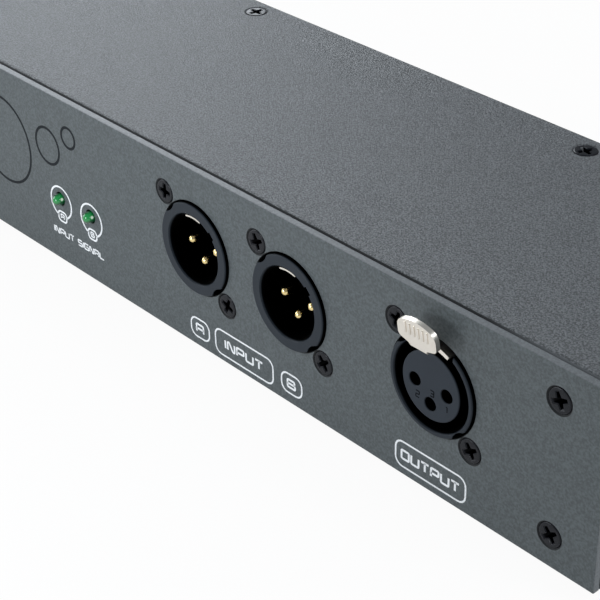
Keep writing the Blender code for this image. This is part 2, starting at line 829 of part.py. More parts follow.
def bore_profile(mouth_radius, bore_radius, chamfer):
    """The outline of a through bore that opens a little towards its mouth."""
    slope = (mouth_radius - bore_radius) / chamfer
    return (
        (0.0, -RING_PROUD - PAST),
        (mouth_radius + slope * PAST, -RING_PROUD - PAST),
        (bore_radius, -RING_PROUD + chamfer),
        (bore_radius, HOUSING_DEPTH + PAST),
        (0.0, HOUSING_DEPTH + PAST),
    )


def build_contact(name, x, z, profile):
    """A turned contact whose flat tail runs down from its back end through the board."""
    contact = turned_piece(name, x, z, profile, gold(), SMALL)
    half = TAIL_THICKNESS / 2
    tail = Shape().box(
        (x - half, behind(TAIL_DEPTH - half), BOARD_BOTTOM_Z - PAST),
        (x + half, behind(TAIL_DEPTH + half), z + half),
    )
    join(contact, tool(name + "_tail", tail))
    return contact


def build_input(name):
    """One pin connector: housing, insert, three pins and the ground contact."""
    x = CONNECTORS[name]
    housing = build_housing(name + "_housing", x)
    profile = bore_profile(INPUT_MOUTH_RADIUS, INPUT_BORE_RADIUS, INPUT_CHAMFER_DEPTH)
    key = Shape().box(
        (-KEYWAY_WIDTH / 2, behind(-RING_PROUD - PAST), INPUT_BORE_RADIUS / 2),
        (KEYWAY_WIDTH / 2, behind(INPUT_FLOOR), KEYWAY_REACH),
    )
    keyway = tool(name + "_keyway", key)
    keyway.location = (x, 0.0, AXIS_Z)
    keyway.rotation_euler = (0.0, KEYWAY_ANGLE, 0.0)
    outer = GROUND_INNER_RADIUS + GROUND_THICKNESS
    room = arc_band(INPUT_BORE_RADIUS * 0.8, outer + FIT, GROUND_HALF_ANGLE + FIT / outer)
    room_length = GROUND_LENGTH + FIT + RING_PROUD + PAST
    room_place = facing_front(x, GROUND_LENGTH + FIT - room_length / 2, AXIS_Z)
    cut(
        housing,
        turned_tool(name + "_bore", x, AXIS_Z, profile),
        keyway,
        tool(name + "_ground_room", plate("ground_room", room, room_length, room_place)),
    )
    strip = arc_band(GROUND_INNER_RADIUS, outer, GROUND_HALF_ANGLE)
    contact_name = name + "_ground_contact"
    strip_place = facing_front(x, GROUND_LENGTH / 2, AXIS_Z)
    piece(contact_name, plate(contact_name, strip, GROUND_LENGTH, strip_place), nickel())

    radius = INPUT_BORE_RADIUS - FIT
    disc = ((0.0, INPUT_FLOOR), (radius, INPUT_FLOOR), (radius, INSERT_BACK), (0.0, INSERT_BACK))
    insert = turned_piece(name + "_insert", x, AXIS_Z, disc, black_plastic())
    pin = (
        (0.0, PIN_TIP_DEPTH),
        (PIN_RADIUS * 0.6, PIN_TIP_DEPTH),
        (PIN_RADIUS, PIN_TIP_DEPTH + PIN_RADIUS * 0.7),
        (PIN_RADIUS, TAIL_DEPTH),
        (0.0, TAIL_DEPTH),
    )
    holes = Shape()
    for number, (shift, height) in enumerate(CONTACT_SPOTS, 1):
        spot_x, spot_z = x + shift, AXIS_Z + height
        holes.rod(
            (spot_x, behind(INPUT_FLOOR - PAST), spot_z),
            (spot_x, behind(INSERT_BACK + PAST), spot_z),
            PIN_RADIUS + FIT,
            SMALL,
        )
        build_contact(f"{name}_pin_{number}", spot_x, spot_z, pin)
    cut(insert, tool(name + "_insert_holes", holes))


def build_output():
    """The socket connector: housing with a slot for the latch, insert and three contacts."""
    x = OUTPUT_X
    housing = build_housing("output_housing", x)
    y, half = behind(SPRING_DEPTH), SPRING_TOWER_HALF
    tower = Shape().box(
        (x - half, y - half, AXIS_Z + HOUSING_HALF - OVERLAP),
        (x + half, y + half, AXIS_Z + SPRING_POCKET_Z + SHEET),
    )
    join(housing, tool("spring_tower", tower))
    profile = bore_profile(OUTPUT_MOUTH_RADIUS, OUTPUT_BORE_RADIUS, OUTPUT_CHAMFER_DEPTH)
    slot = Shape().box(
        (x - SLOT_HALF, behind(-RING_PROUD - PAST), AXIS_Z + INSERT_RADIUS / 2),
        (x + SLOT_HALF, behind(SLOT_DEPTH), AXIS_Z + SLOT_ROOF_Z),
    )
    pocket_low, pocket_top = (x, y, AXIS_Z + SLOT_ROOF_Z - PAST), (x, y, AXIS_Z + SPRING_POCKET_Z)
    pocket = Shape().rod(pocket_low, pocket_top, SPRING_RADIUS + SPRING_WIRE_RADIUS + FIT, SMALL)
    pivot = Vector((x, behind(LEVER_PIVOT_DEPTH), AXIS_Z + LEVER_PIVOT_Z))
    reach = Vector((LATCH_PIN_HALF + FIT, 0, 0))
    pin_hole = Shape().rod(pivot - reach, pivot + reach, LATCH_PIN_RADIUS + FIT, SMALL)
    cut(
        housing,
        turned_tool("output_bore", x, AXIS_Z, profile),
        tool("latch_slot", slot),
        tool("spring_pocket", pocket),
        tool("latch_pin_hole", pin_hole),
    )

    base_radius = OUTPUT_BORE_RADIUS - FIT
    disc = (
        (0.0, -INSERT_PROUD),
        (INSERT_RADIUS - RING_EDGE, -INSERT_PROUD),
        (INSERT_RADIUS, -INSERT_PROUD + RING_EDGE),
        (INSERT_RADIUS, INSERT_FLOOR),
        (base_radius, INSERT_FLOOR),
        (base_radius, INSERT_END),
        (0.0, INSERT_END),
    )
    insert = turned_piece("output_insert", x, AXIS_Z, disc, insert_plastic())
    front = SOCKET_MOUTH_DEPTH + FIT
    contact_profile = (
        (0.0, front),
        (SOCKET_RADIUS, front),
        (SOCKET_RADIUS, TAIL_DEPTH),
        (0.0, TAIL_DEPTH),
    )
    mouths, wells = Shape(), Shape()
    # Seen from the front, contacts 1 and 2 lie the other way round from the pins that meet them
    for number, (shift, height) in zip((2, 1, 3), CONTACT_SPOTS):
        spot_x, spot_z = x + shift, AXIS_Z + height
        mouth = (spot_x, behind(SOCKET_MOUTH_DEPTH), spot_z)
        mouths.rod(
            (spot_x, behind(-INSERT_PROUD - PAST), spot_z),
            (spot_x, behind(SOCKET_MOUTH_DEPTH + PAST), spot_z),
            SOCKET_MOUTH_RADIUS,
            ROUND,
        )
        wells.rod(mouth, (spot_x, behind(INSERT_END + PAST), spot_z), SOCKET_RADIUS + FIT, SMALL)
        contact = build_contact(f"output_contact_{number}", spot_x, spot_z, contact_profile)
        bore = Shape().rod(mouth, (spot_x, behind(SOCKET_BORE_DEPTH), spot_z), SOCKET_BORE_RADIUS, SMALL)
        cut(contact, tool(f"output_contact_{number}_bore", bore))
    cut(insert, tool("socket_mouths", mouths), tool("socket_wells", wells))


def build_latch():
    """The sprung latch lever of the output and its pin. The lever turns about its barrel."""
    x = OUTPUT_X
    pivot = Vector((x, behind(LEVER_PIVOT_DEPTH), AXIS_Z + LEVER_PIVOT_Z))
    inset = LEVER_THICKNESS / 6
    low, high = AXIS_Z + LEVER_INNER_RADIUS + inset, AXIS_Z + LEVER_OUTER_RADIUS - inset
    band_back = LEVER_BAND_LENGTH - RING_PROUD
    band = plate(
        "latch_lever",
        arc_band(LEVER_INNER_RADIUS, LEVER_OUTER_RADIUS, LEVER_HALF_ANGLE, 10),
        LEVER_BAND_LENGTH,
        facing_front(x, band_back - LEVER_BAND_LENGTH / 2, AXIS_Z),
    )
    band.transform(Matrix.Translation(-pivot))
    lever = piece("latch_lever", band, nickel())
    lever.location = pivot

    arm = Shape().box(
        (x - LEVER_ARM_HALF, behind(band_back - OVERLAP), low),
        (x + LEVER_ARM_HALF, behind(LEVER_PIVOT_DEPTH), high),
    )
    side = Vector((LEVER_BARREL_HALF, 0, 0))
    barrel = Shape().rod(pivot - side, pivot + side, LEVER_BARREL_RADIUS, ROUND)
    tooth = Shape().box(
        (x - TOOTH_HALF, behind(TOOTH_DEPTH), AXIS_Z + TOOTH_REACH_Z),
        (x + TOOTH_HALF, behind(TOOTH_DEPTH + TOOTH_LENGTH), (low + high) / 2),
    )
    foot_z = AXIS_Z + TAB_BOTTOM_Z
    neck_side = (
        (behind(OVERLAP - RING_PROUD), low),
        (behind(-TAB_STAND), foot_z + inset),
        (behind(-TAB_STAND), foot_z + LEVER_THICKNESS),
        (behind(OVERLAP - RING_PROUD), high),
    )
    neck = plate("lever_neck", neck_side, 2 * (TAB_NECK_HALF - inset), facing_side(x, 0.0, 0.0))
    upright = Matrix.Rotation(math.radians(90) + TAB_TILT, 4, "X")
    stand = Matrix.Translation((x, behind(-TAB_STAND), foot_z)) @ upright
    tab = plate("lever_tab", tab_outline(), TAB_THICKNESS, stand)
    join(
        lever,
        tool("lever_arm", arm),
        tool("lever_barrel", barrel),
        tool("lever_tooth", tooth),
        tool("lever_neck", neck),
        tool("lever_tab", tab),
    )
    past = Vector((SLOT_HALF, 0, 0))
    bore = Shape().rod(pivot - past, pivot + past, LATCH_PIN_RADIUS + FIT, SMALL)
    cut(lever, tool("lever_bore", bore))

    reach = Vector((LATCH_PIN_HALF, 0, 0))
    pin = Shape().rod(pivot - reach, pivot + reach, LATCH_PIN_RADIUS, SMALL)
    piece("latch_pin", pin.mesh("latch_pin"), zinc())


def build_latch_spring():
    """A small coil in the housing's pocket that presses the lever down, as one unbroken wire."""
    low = AXIS_Z + LEVER_OUTER_RADIUS + FIT + SPRING_WIRE_RADIUS
    high = AXIS_Z + SPRING_POCKET_Z - FIT - SPRING_WIRE_RADIUS
    points_per_turn = 8
    count = SPRING_TURNS * points_per_turn
    curve = bpy.data.curves.new("latch_spring", "CURVE")
    curve.dimensions = "3D"
    curve.bevel_depth = SPRING_WIRE_RADIUS
    curve.bevel_resolution = 1
    curve.use_fill_caps = True
    curve.materials.append(zinc())
    spline = curve.splines.new("POLY")
    spline.points.add(count)
    for index, knot in enumerate(spline.points):
        angle = 2 * math.pi * index / points_per_turn
        across, along = SPRING_RADIUS * math.cos(angle), SPRING_RADIUS * math.sin(angle)
        height = low + (high - low) * index / count
        knot.co = (OUTPUT_X + across, behind(SPRING_DEPTH) + along, height, 1.0)
    PARTS.objects.link(bpy.data.objects.new("latch_spring", curve))
    pitch = (high - low) / SPRING_TURNS
    print(f"latch_spring: least gap to itself {1000 * (pitch - 2 * SPRING_WIRE_RADIUS):.2f} mm")


# Lamps


def build_lamps():
    """Two domed lamps behind the panel, each with two bent leads and a holder on the board."""
    rim_back = BEHIND_PANEL + LAMP_RIM_THICKNESS
    angles = [step * math.pi / 8 for step in range(5)]
    dome = [(math.sin(angle) * LAMP_RADIUS, (1 - math.cos(angle)) * LAMP_RADIUS) for angle in angles]
    profile = [(radius, depth - LAMP_PROUD) for radius, depth in dome]
    profile += [(LAMP_RADIUS, BEHIND_PANEL), (LAMP_RIM_RADIUS, BEHIND_PANEL)]
    profile += [(LAMP_RIM_RADIUS, rim_back), (0.0, rim_back)]
    half = LAMP_LEAD_WIDTH / 2
    start, down = behind(rim_back - OVERLAP), behind(LAMP_LEAD_DEPTH)
    lead_side = (
        (start, LAMP_Z - half),
        (down - half, LAMP_Z - half),
        (down - half, BOARD_BOTTOM_Z - PAST),
        (down + half, BOARD_BOTTOM_Z - PAST),
        (down + half, LAMP_Z + half),
        (start, LAMP_Z + half),
    )
    for name, x in LAMPS.items():
        lamp = turned_piece(name, x, LAMP_Z, profile, lamp_green(), ROUND)
        holder_box = Shape().box(
            (x - LAMP_HOLDER_HALF, behind(LAMP_HOLDER_FRONT), SEAT_Z),
            (x + LAMP_HOLDER_HALF, behind(LAMP_HOLDER_BACK), LAMP_Z + LAMP_HOLDER_HALF),
        )
        holder_name = name + "_holder"
        holder = piece(holder_name, holder_box.mesh(holder_name), black_plastic(), smooth=False)
        channels, leads = Shape(), Shape()
        for sign in SIDES.values():
            spot = x + sign * LAMP_LEAD_SPREAD
            channels.rod(
                (spot, behind(LAMP_HOLDER_FRONT - PAST), LAMP_Z),
                (spot, behind(LAMP_HOLDER_BACK + PAST), LAMP_Z),
                LAMP_LEAD_HOLE_RADIUS,
                SMALL,
            )
            leads.add(plate("lead", lead_side, LAMP_LEAD_WIDTH, facing_side(spot, 0.0, 0.0)))
        cut(holder, tool(name + "_channels", channels))
        join(lamp, tool(name + "_leads", leads))


# Circuit board and what stands on it


def build_main_board():
    """The board with its small soldered parts: resistors by each connector and a crystal."""
    body = Shape().box(
        (BOARD_LEFT, behind(BOARD_FRONT), BOARD_BOTTOM_Z), (BOARD_RIGHT, behind(BOARD_BACK), BOARD_TOP_Z)
    )
    board = piece("main_board", body.mesh("main_board"), board_green(), smooth=False)
    parts, holes = Shape(), Shape()
    low = BOARD_TOP_Z - OVERLAP
    for x in CONNECTORS.values():
        for step in (-1, 0, 1):
            spot, y = x + step * 0.0060, behind(DRIVER_DEPTH + 0.0080)
            parts.box((spot - 0.0016, y - 0.0008, low), (spot + 0.0016, y + 0.0008, BOARD_TOP_Z + 0.0006))
    x, y = CONTROLLER_PLACE[0] - 0.0240, behind(CONTROLLER_PLACE[1])
    parts.box((x - 0.0022, y - 0.0055, low), (x + 0.0022, y + 0.0055, BOARD_TOP_Z + 0.0035))
    join(board, tool("board_parts", parts))

    drills = [(x, depth, HOLE_RADIUS) for x, depth in BOARD_SCREWS.values()]
    drills += [
        (x + shift, TAIL_DEPTH, TAIL_HOLE_RADIUS) for x in CONNECTORS.values() for shift, _ in CONTACT_SPOTS
    ]
    drills += [
        (x + sign * LAMP_LEAD_SPREAD, LAMP_LEAD_DEPTH, LAMP_LEAD_HOLE_RADIUS)
        for x in LAMPS.values()
        for sign in SIDES.values()
    ]
    for x, depth, radius in drills:
        y = behind(depth)
        holes.rod((x, y, BOARD_TOP_Z + PAST), (x, y, BOARD_BOTTOM_Z - PAST), radius, SMALL)
    cut(board, tool("board_holes", holes))


def build_chip(name, x, depth, legs_per_side):
    """A chip in a long plastic case with a row of legs along each long side."""
    half_length = legs_per_side * CHIP_PITCH / 2
    y = behind(depth)
    case = Shape().box(
        (x - half_length, y - CHIP_HALF_WIDTH, BOARD_TOP_Z + CHIP_LOW),
        (x + half_length, y + CHIP_HALF_WIDTH, BOARD_TOP_Z + CHIP_HIGH),
    )
    chip = piece(name, case.mesh(name), black_plastic(), smooth=False)
    legs = Shape()
    middle, half = BOARD_TOP_Z + (CHIP_LOW + CHIP_HIGH) / 2, CHIP_LEG / 2
    for sign in SIDES.values():
        inner, outer = y + sign * (CHIP_HALF_WIDTH - OVERLAP), y + sign * CHIP_ROW
        side_view = (
            (inner, middle + half),
            (outer + sign * half, middle + half),
            (outer + sign * half, SEAT_Z),
            (outer - sign * half, SEAT_Z),
            (outer - sign * half, middle - half),
            (inner, middle - half),
        )
        for index in range(legs_per_side):
            along = x + (index - (legs_per_side - 1) / 2) * CHIP_PITCH
            legs.add(plate("leg", side_view, CHIP_LEG, facing_side(along, 0.0, 0.0)))
    join(chip, tool(name + "_legs", legs))


def build_regulator():
    """An upright regulator screwed to a finned heat sink, and the capacitor beside them."""
    x, half, back = REGULATOR_PLACE[0], REGULATOR_HALF_WIDTH, behind(REGULATOR_PLACE[1])
    body = Shape().box(
        (x - half, back - REGULATOR_THICKNESS, SEAT_Z + 0.003), (x + half, back, SEAT_Z + 0.012)
    )
    regulator = piece("voltage_regulator", body.mesh("voltage_regulator"), black_plastic(), smooth=False)
    tab_half = half - FIT
    tab = Shape().box(
        (x - tab_half, back - REGULATOR_TAB, SEAT_Z + 0.011), (x + tab_half, back - FIT / 3, SEAT_Z + 0.0185)
    )
    legs = Shape()
    for step in (-1, 0, 1):
        spot = x + step * CHIP_PITCH
        legs.box((spot - 0.0004, back - 0.0030, SEAT_Z), (spot + 0.0004, back - 0.0024, SEAT_Z + 0.0040))
    join(regulator, tool("regulator_tab", tab), tool("regulator_legs", legs))

    pitch = (2 * SINK_HALF_WIDTH - SINK_FIN) / (SINK_FINS - 1)
    outline = [(-SINK_HALF_WIDTH, 0.0), (SINK_HALF_WIDTH, 0.0)]
    for index in range(SINK_FINS):
        right = SINK_HALF_WIDTH - index * pitch
        outline += [(right, SINK_REACH), (right - SINK_FIN, SINK_REACH)]
        if index < SINK_FINS - 1:
            outline += [(right - SINK_FIN, SINK_WEB), (right - pitch, SINK_WEB)]
    lying = Matrix.Translation((x, back + FIT, SEAT_Z + SINK_HEIGHT / 2))
    sink_mesh = plate("heat_sink", outline, SINK_HEIGHT, lying)
    sink = piece("heat_sink", sink_mesh, black_anodised(), smooth=False)

    screw_z = SEAT_Z + 0.0155
    hole = Shape().rod((x, back - 0.004, screw_z), (x, back + 0.006, screw_z), HOLE_RADIUS, SMALL)
    hole_tool = tool("regulator_hole", hole)
    cut(regulator, hole_tool)
    cut(sink, hole_tool)
    recess = plate("sink_recess", cross_outline(), 2 * RECESS_DEPTH, Matrix.Identity(4))
    fixing = screw("heat_sink_screw", pan_profile(SINK_SCREW_LENGTH), recess, zinc())
    fixing.location = (x, back - REGULATOR_TAB - FIT - PAN_HEAD_HEIGHT, screw_z)
    fixing.rotation_euler = (math.radians(90), 0.0, 0.0)

    low = Vector((CAPACITOR_PLACE[0], behind(CAPACITOR_PLACE[1]), SEAT_Z))
    can = Shape().rod(low, low + Vector((0, 0, CAPACITOR_HEIGHT)), CAPACITOR_RADIUS)
    piece("reservoir_capacitor", can.mesh("reservoir_capacitor"), capacitor_blue())


# Power entry


def build_inlet():
    """The power inlet on the board's rear edge: body with a round bush, and its centre pin."""

    def along(start, end, radius, segments):
        first, last = (INLET_X, behind(start), INLET_Z), (INLET_X, behind(end), INLET_Z)
        return Shape().rod(first, last, radius, segments)

    wall = REAR_WALL - FIT
    back, outer_end = wall - INLET_BODY_DEPTH, BOX_DEPTH + INLET_BUSH_PROUD
    floor = outer_end - INLET_CAVITY_DEPTH
    body = Shape().box(
        (INLET_X - INLET_HALF_WIDTH, behind(back), SEAT_Z),
        (INLET_X + INLET_HALF_WIDTH, behind(wall), SEAT_Z + INLET_BODY_HEIGHT),
    )
    inlet = piece("dc_inlet_body", body.mesh("dc_inlet_body"), black_plastic())
    join(inlet, tool("inlet_bush", along(wall - PAST, outer_end, INLET_BUSH_RADIUS, ROUND)))
    cut(
        inlet,
        tool("inlet_cavity", along(floor, outer_end + PAST, INLET_CAVITY_RADIUS, ROUND)),
        tool("inlet_pin_hole", along(back - PAST, floor + PAST, INLET_PIN_RADIUS + FIT, SMALL)),
    )
    pin = along(back - PAST, outer_end - PAST, INLET_PIN_RADIUS, SMALL)
    piece("dc_inlet_pin", pin.mesh("dc_inlet_pin"), nickel())


def build_switch():
    """The rocker switch in the rear wall. The rocker turns about its pivot."""
    x, z = SWITCH_X, SWITCH_Z
    across, up = SWITCH_HALF_WIDTH, SWITCH_HALF_HEIGHT
    back, bezel_front = REAR_WALL - SWITCH_BODY_DEPTH, BOX_DEPTH + FIT
    bezel_back = bezel_front + SWITCH_BEZEL_THICKNESS
    body = Shape().box((x - across, behind(back), z - up), (x + across, behind(bezel_front + PAST), z + up))
    switch = piece("switch_body", body.mesh("switch_body"), black_plastic(), smooth=False)
    edge = SWITCH_BEZEL
    bezel = Shape().box(
        (x - across - edge, behind(bezel_front), z - up - edge),
        (x + across + edge, behind(bezel_back), z + up + edge),
    )
    well_x, well_z = across - WELL_MARGIN_X, up - WELL_MARGIN_Z
    well = Shape().box(
        (x - well_x, behind(BOX_DEPTH - WELL_DEPTH), z - well_z),
        (x + well_x, behind(bezel_back + PAST), z + well_z),
    )
    legs = Shape()
    for sign in SIDES.values():
        spot, leg_y = x + sign * CHIP_PITCH, behind(back + CHIP_PITCH)
        legs.box(
            (spot - CHIP_LEG, leg_y - CHIP_LEG, SEAT_Z), (spot + CHIP_LEG, leg_y + CHIP_LEG, z - up + OVERLAP)
        )
    join(switch, tool("switch_bezel", bezel), tool("switch_legs", legs))
    cut(switch, tool("switch_well", well))

    tilt = Matrix.Rotation(ROCKER_ANGLE, 4, "X") @ facing_side(0.0, 0.0, 0.0)
    mesh = plate("switch_rocker", rocker_outline(), 2 * (well_x - FIT), tilt)
    rocker = piece("switch_rocker", mesh, black_plastic())
    rocker.location = (x, behind(BOX_DEPTH - ROCKER_PIVOT_INSET), z)


def main():
    build_front_panel()
    build_chassis_tray()
    build_top_cover()
    build_screws()
    build_feet()
    build_input("input_a")
    build_input("input_b")
    build_output()
    build_latch()
    build_latch_spring()
    build_lamps()
    build_main_board()
    build_chip("input_a_receiver", INPUT_A_X, DRIVER_DEPTH, SMALL_CHIP_LEGS)
    build_chip("input_b_receiver", INPUT_B_X, DRIVER_DEPTH, SMALL_CHIP_LEGS)
    build_chip("output_driver", OUTPUT_X, DRIVER_DEPTH, SMALL_CHIP_LEGS)
    build_chip("controller_chip", *CONTROLLER_PLACE, LARGE_CHIP_LEGS)
    build_regulator()
    build_inlet()
    build_switch()


clear_scene()
PARTS = new_collection("signal_merger")
CUTTERS = new_collection("cutters")
main()
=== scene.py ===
"""The looks of a two-input signal merger in a folded steel box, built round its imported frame.

Metres, +Z up. The front panel faces -Y. Depths are counted backwards from the panel's face.
"""

import json
import logging
import math
from dataclasses import dataclass, field, replace
from enum import Enum
from typing import Any, Callable, Optional, Sequence, Union

import bmesh
import bpy
from mathutils import Matrix, Vector


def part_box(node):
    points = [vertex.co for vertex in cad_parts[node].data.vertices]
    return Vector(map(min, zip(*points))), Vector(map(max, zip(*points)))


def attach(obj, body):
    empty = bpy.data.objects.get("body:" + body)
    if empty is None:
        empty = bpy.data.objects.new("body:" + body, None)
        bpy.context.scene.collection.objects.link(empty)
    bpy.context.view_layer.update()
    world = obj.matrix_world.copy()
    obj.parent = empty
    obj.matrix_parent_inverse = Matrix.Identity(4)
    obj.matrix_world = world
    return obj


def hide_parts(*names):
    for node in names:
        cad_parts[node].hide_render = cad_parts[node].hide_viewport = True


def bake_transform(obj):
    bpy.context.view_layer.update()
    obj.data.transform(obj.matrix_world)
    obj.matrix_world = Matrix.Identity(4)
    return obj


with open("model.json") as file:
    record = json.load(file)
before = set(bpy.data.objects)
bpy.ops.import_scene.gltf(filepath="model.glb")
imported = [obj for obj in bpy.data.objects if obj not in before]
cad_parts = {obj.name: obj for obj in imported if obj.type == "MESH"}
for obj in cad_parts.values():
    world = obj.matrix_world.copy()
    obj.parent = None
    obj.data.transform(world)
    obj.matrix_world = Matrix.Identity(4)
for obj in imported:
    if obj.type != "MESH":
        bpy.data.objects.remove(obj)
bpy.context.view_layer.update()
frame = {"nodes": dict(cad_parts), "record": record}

LOG = logging.getLogger("signal_merger")

MM = 0.001
# The play between two parts
FIT = 0.3 * MM
# How far a cutter runs past the face that it opens
PAST = 1.0 * MM
# How far two shapes that are joined run into each other
BITE = 0.5 * MM
# Edges that bend by more than this stay sharp
SHARP_ANGLE = math.radians(40.0)
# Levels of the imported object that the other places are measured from
FACE_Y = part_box("front_panel")[0].y
TOP_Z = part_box("front_panel")[1].z
AXIS_Z = sum(corner.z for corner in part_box("input_a_insert")) / 2
BOARD_LOW_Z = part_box("input_a_pin_1")[0].z
SEAT_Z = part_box("input_a_housing")[0].z

Point = Sequence[float]
Line = tuple[Sequence[Point], bool]
Colour = tuple[float, float, float]


def centre_x(node: str) -> float:
    """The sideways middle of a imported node."""
    return sum(corner.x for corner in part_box(node)) / 2


def behind(depth: float) -> float:
    """World y of a place that lies depth behind the front panel's face."""
    return FACE_Y + depth


def placed(name: str, data: Any) -> bpy.types.Object:
    """An object made of some data and put in the scene.

    Args:
        name: Its name.
        data: Its mesh, curve, light or camera.

    Returns:
        The object.
    """
    obj = bpy.data.objects.new(name, data)
    bpy.context.scene.collection.objects.link(obj)
    return obj


class Rider(Enum):
    """The bodies that pieces move with."""

    BOX = "box"
    LATCH = "latch"
    ROCKER = "rocker"


class Slot(Enum):
    """The record's material slots."""

    PAINT = "grey_paint"
    BLACK_STEEL = "black_steel"
    ANODISED = "black_anodised"
    ZINC = "zinc"
    NICKEL = "nickel"
    GOLD = "gold"
    HOUSING = "housing_plastic"
    INSERT = "insert_plastic"
    BLACK_PLASTIC = "black_plastic"
    LAMP = "lamp_green"
    BOARD = "board_green"
    CAPACITOR = "capacitor_blue"
    RUBBER = "rubber"


# Node graphs


class Graph:
    """The nodes of one tree, made and wired by one method."""

    def __init__(self, tree: bpy.types.NodeTree) -> None:
        """Keeps the tree that nodes are added to."""
        self.tree = tree

    def node(
        self,
        kind: str,
        settings: Optional[dict[str, Any]] = None,
        sockets: Optional[dict[Union[str, int], Any]] = None,
    ) -> bpy.types.Node:
        """Adds one node.

        Args:
            kind: The node's type.
            settings: Its properties, set first; "stops" fills a colour ramp.
            sockets: Values, links or wrapped values for its inputs, by name or number.

        Returns:
            The node.
        """
        made = self.tree.nodes.new(kind)
        for name, value in (settings or {}).items():
            if name == "stops":
                ramp = made.color_ramp.elements
                while len(ramp) < len(value):
                    ramp.new(1.0)
                for element, (position, colour) in zip(ramp, value):
                    element.position = position
                    element.color = (*colour, 1.0)
            else:
                setattr(made, name, value)
        for name, value in (sockets or {}).items():
            self.feed(made.inputs[name], value)
        return made

    def feed(self, target: bpy.types.NodeSocket, value: Any) -> None:
        """Links a socket or wrapped value to an input, or sets the input's own value.

        Args:
            target: The input.
            value: A socket, a wrapped value or a plain one.
        """
        source = value.socket if isinstance(value, Value) else value
        if isinstance(source, bpy.types.NodeSocket):
            self.tree.links.new(source, target)
        else:
            target.default_value = source


class Value:
    """A number socket that takes part in Python arithmetic by adding Math nodes."""

    def __init__(self, graph: Graph, socket: bpy.types.NodeSocket) -> None:
        """Wraps one output socket of a graph."""
        self.graph = graph
        self.socket = socket

    def math(self, operation: str, *terms: Any) -> "Value":
        """Adds a Math node.

        Args:
            operation: The node's operation.
            terms: Its inputs, in order.

        Returns:
            The wrapped result.
        """
        made = self.graph.node("ShaderNodeMath", {"operation": operation}, dict(enumerate(terms)))
        return Value(self.graph, made.outputs[0])

    def __add__(self, other: Any) -> "Value":
        """Sum."""
        return self.math("ADD", self, other)

    __radd__ = __add__

    def __sub__(self, other: Any) -> "Value":
        """Difference."""
        return self.math("SUBTRACT", self, other)

    def __rsub__(self, other: Any) -> "Value":
        """Difference from a number."""
        return self.math("SUBTRACT", other, self)

    def __mul__(self, other: Any) -> "Value":
        """Product."""
        return self.math("MULTIPLY", self, other)

    __rmul__ = __mul__

    def between(self, low: float, high: float) -> "Value":
        """0 below low, 1 above high, and smooth in between.

        Args:
            low: Where it starts to rise.
            high: Where it has risen.

        Returns:
            The wrapped result.
        """
        settings = {"interpolation_type": "SMOOTHSTEP", "clamp": True}
        sockets = {"Value": self, "From Min": low, "From Max": high}
        return Value(self.graph, self.graph.node("ShaderNodeMapRange", settings, sockets).outputs[0])


class Surface(Graph):
    """One material's tree round its Principled shader."""

    def __init__(self, name: str) -> None:
        """Makes the material.

        Args:
            name: The material's name.
        """
        self.material = bpy.data.materials.new(name)
        self.material.use_nodes = True
        super().__init__(self.material.node_tree)
        self.shader = self.tree.nodes["Principled BSDF"]
        self.output = self.tree.nodes["Material Output"]
        self.object_space = self.node("ShaderNodeTexCoord").outputs["Object"]

    def set(self, **values: Any) -> None:
        """Feeds the shader's sockets; underscores in a name stand for spaces."""
        for name, value in values.items():
            self.feed(self.shader.inputs[name.replace("_", " ")], value)

    def noise(
        self, size: float, detail: float = 2.0, rough: float = 0.5, stretch: Point = (1, 1, 1)
    ) -> Value:
        """A noise pattern.

        Args:
            size: The size of one blotch in metres.
            detail: Octaves.
            rough: How strong the finer octaves are.
            stretch: How much finer it is along each axis.

        Returns:
            The pattern's value.
        """
        scaled = self.node("ShaderNodeMapping", None, {"Vector": self.object_space, "Scale": tuple(stretch)})
        sockets = {"Vector": scaled.outputs[0], "Scale": 1 / size, "Detail": detail, "Roughness": rough}
        return Value(self, self.node("ShaderNodeTexNoise", None, sockets).outputs["Fac"])

    def axis(self, letter: str) -> Value:
        """One coordinate of the object space."""
        parts = self.node("ShaderNodeSeparateXYZ", None, {"Vector": self.object_space})
        return Value(self, parts.outputs[letter])

    def blend(self, factor: Any, first: Any, second: Any) -> bpy.types.NodeSocket:
        """Mixes two colours.

        Args:
            factor: 0 gives the first, 1 the second.
            first: A colour or a colour socket.
            second: A colour or a colour socket.

        Returns:
            The mixed colour's socket.
        """
        made = self.node("ShaderNodeMix", {"data_type": "RGBA"}, {"Factor": factor})
        for number, colour in ((6, first), (7, second)):
            self.feed(made.inputs[number], (*colour, 1.0) if isinstance(colour, tuple) else colour)
        return made.outputs[2]

    def bump(self, height: Value, distance: float) -> None:
        """Raises the surface by a height pattern, whose full height is distance in metres."""
        sockets = {"Height": height, "Distance": distance, "Strength": 1.0}
        self.set(Normal=self.node("ShaderNodeBump", None, sockets).outputs[0])


# Finishes


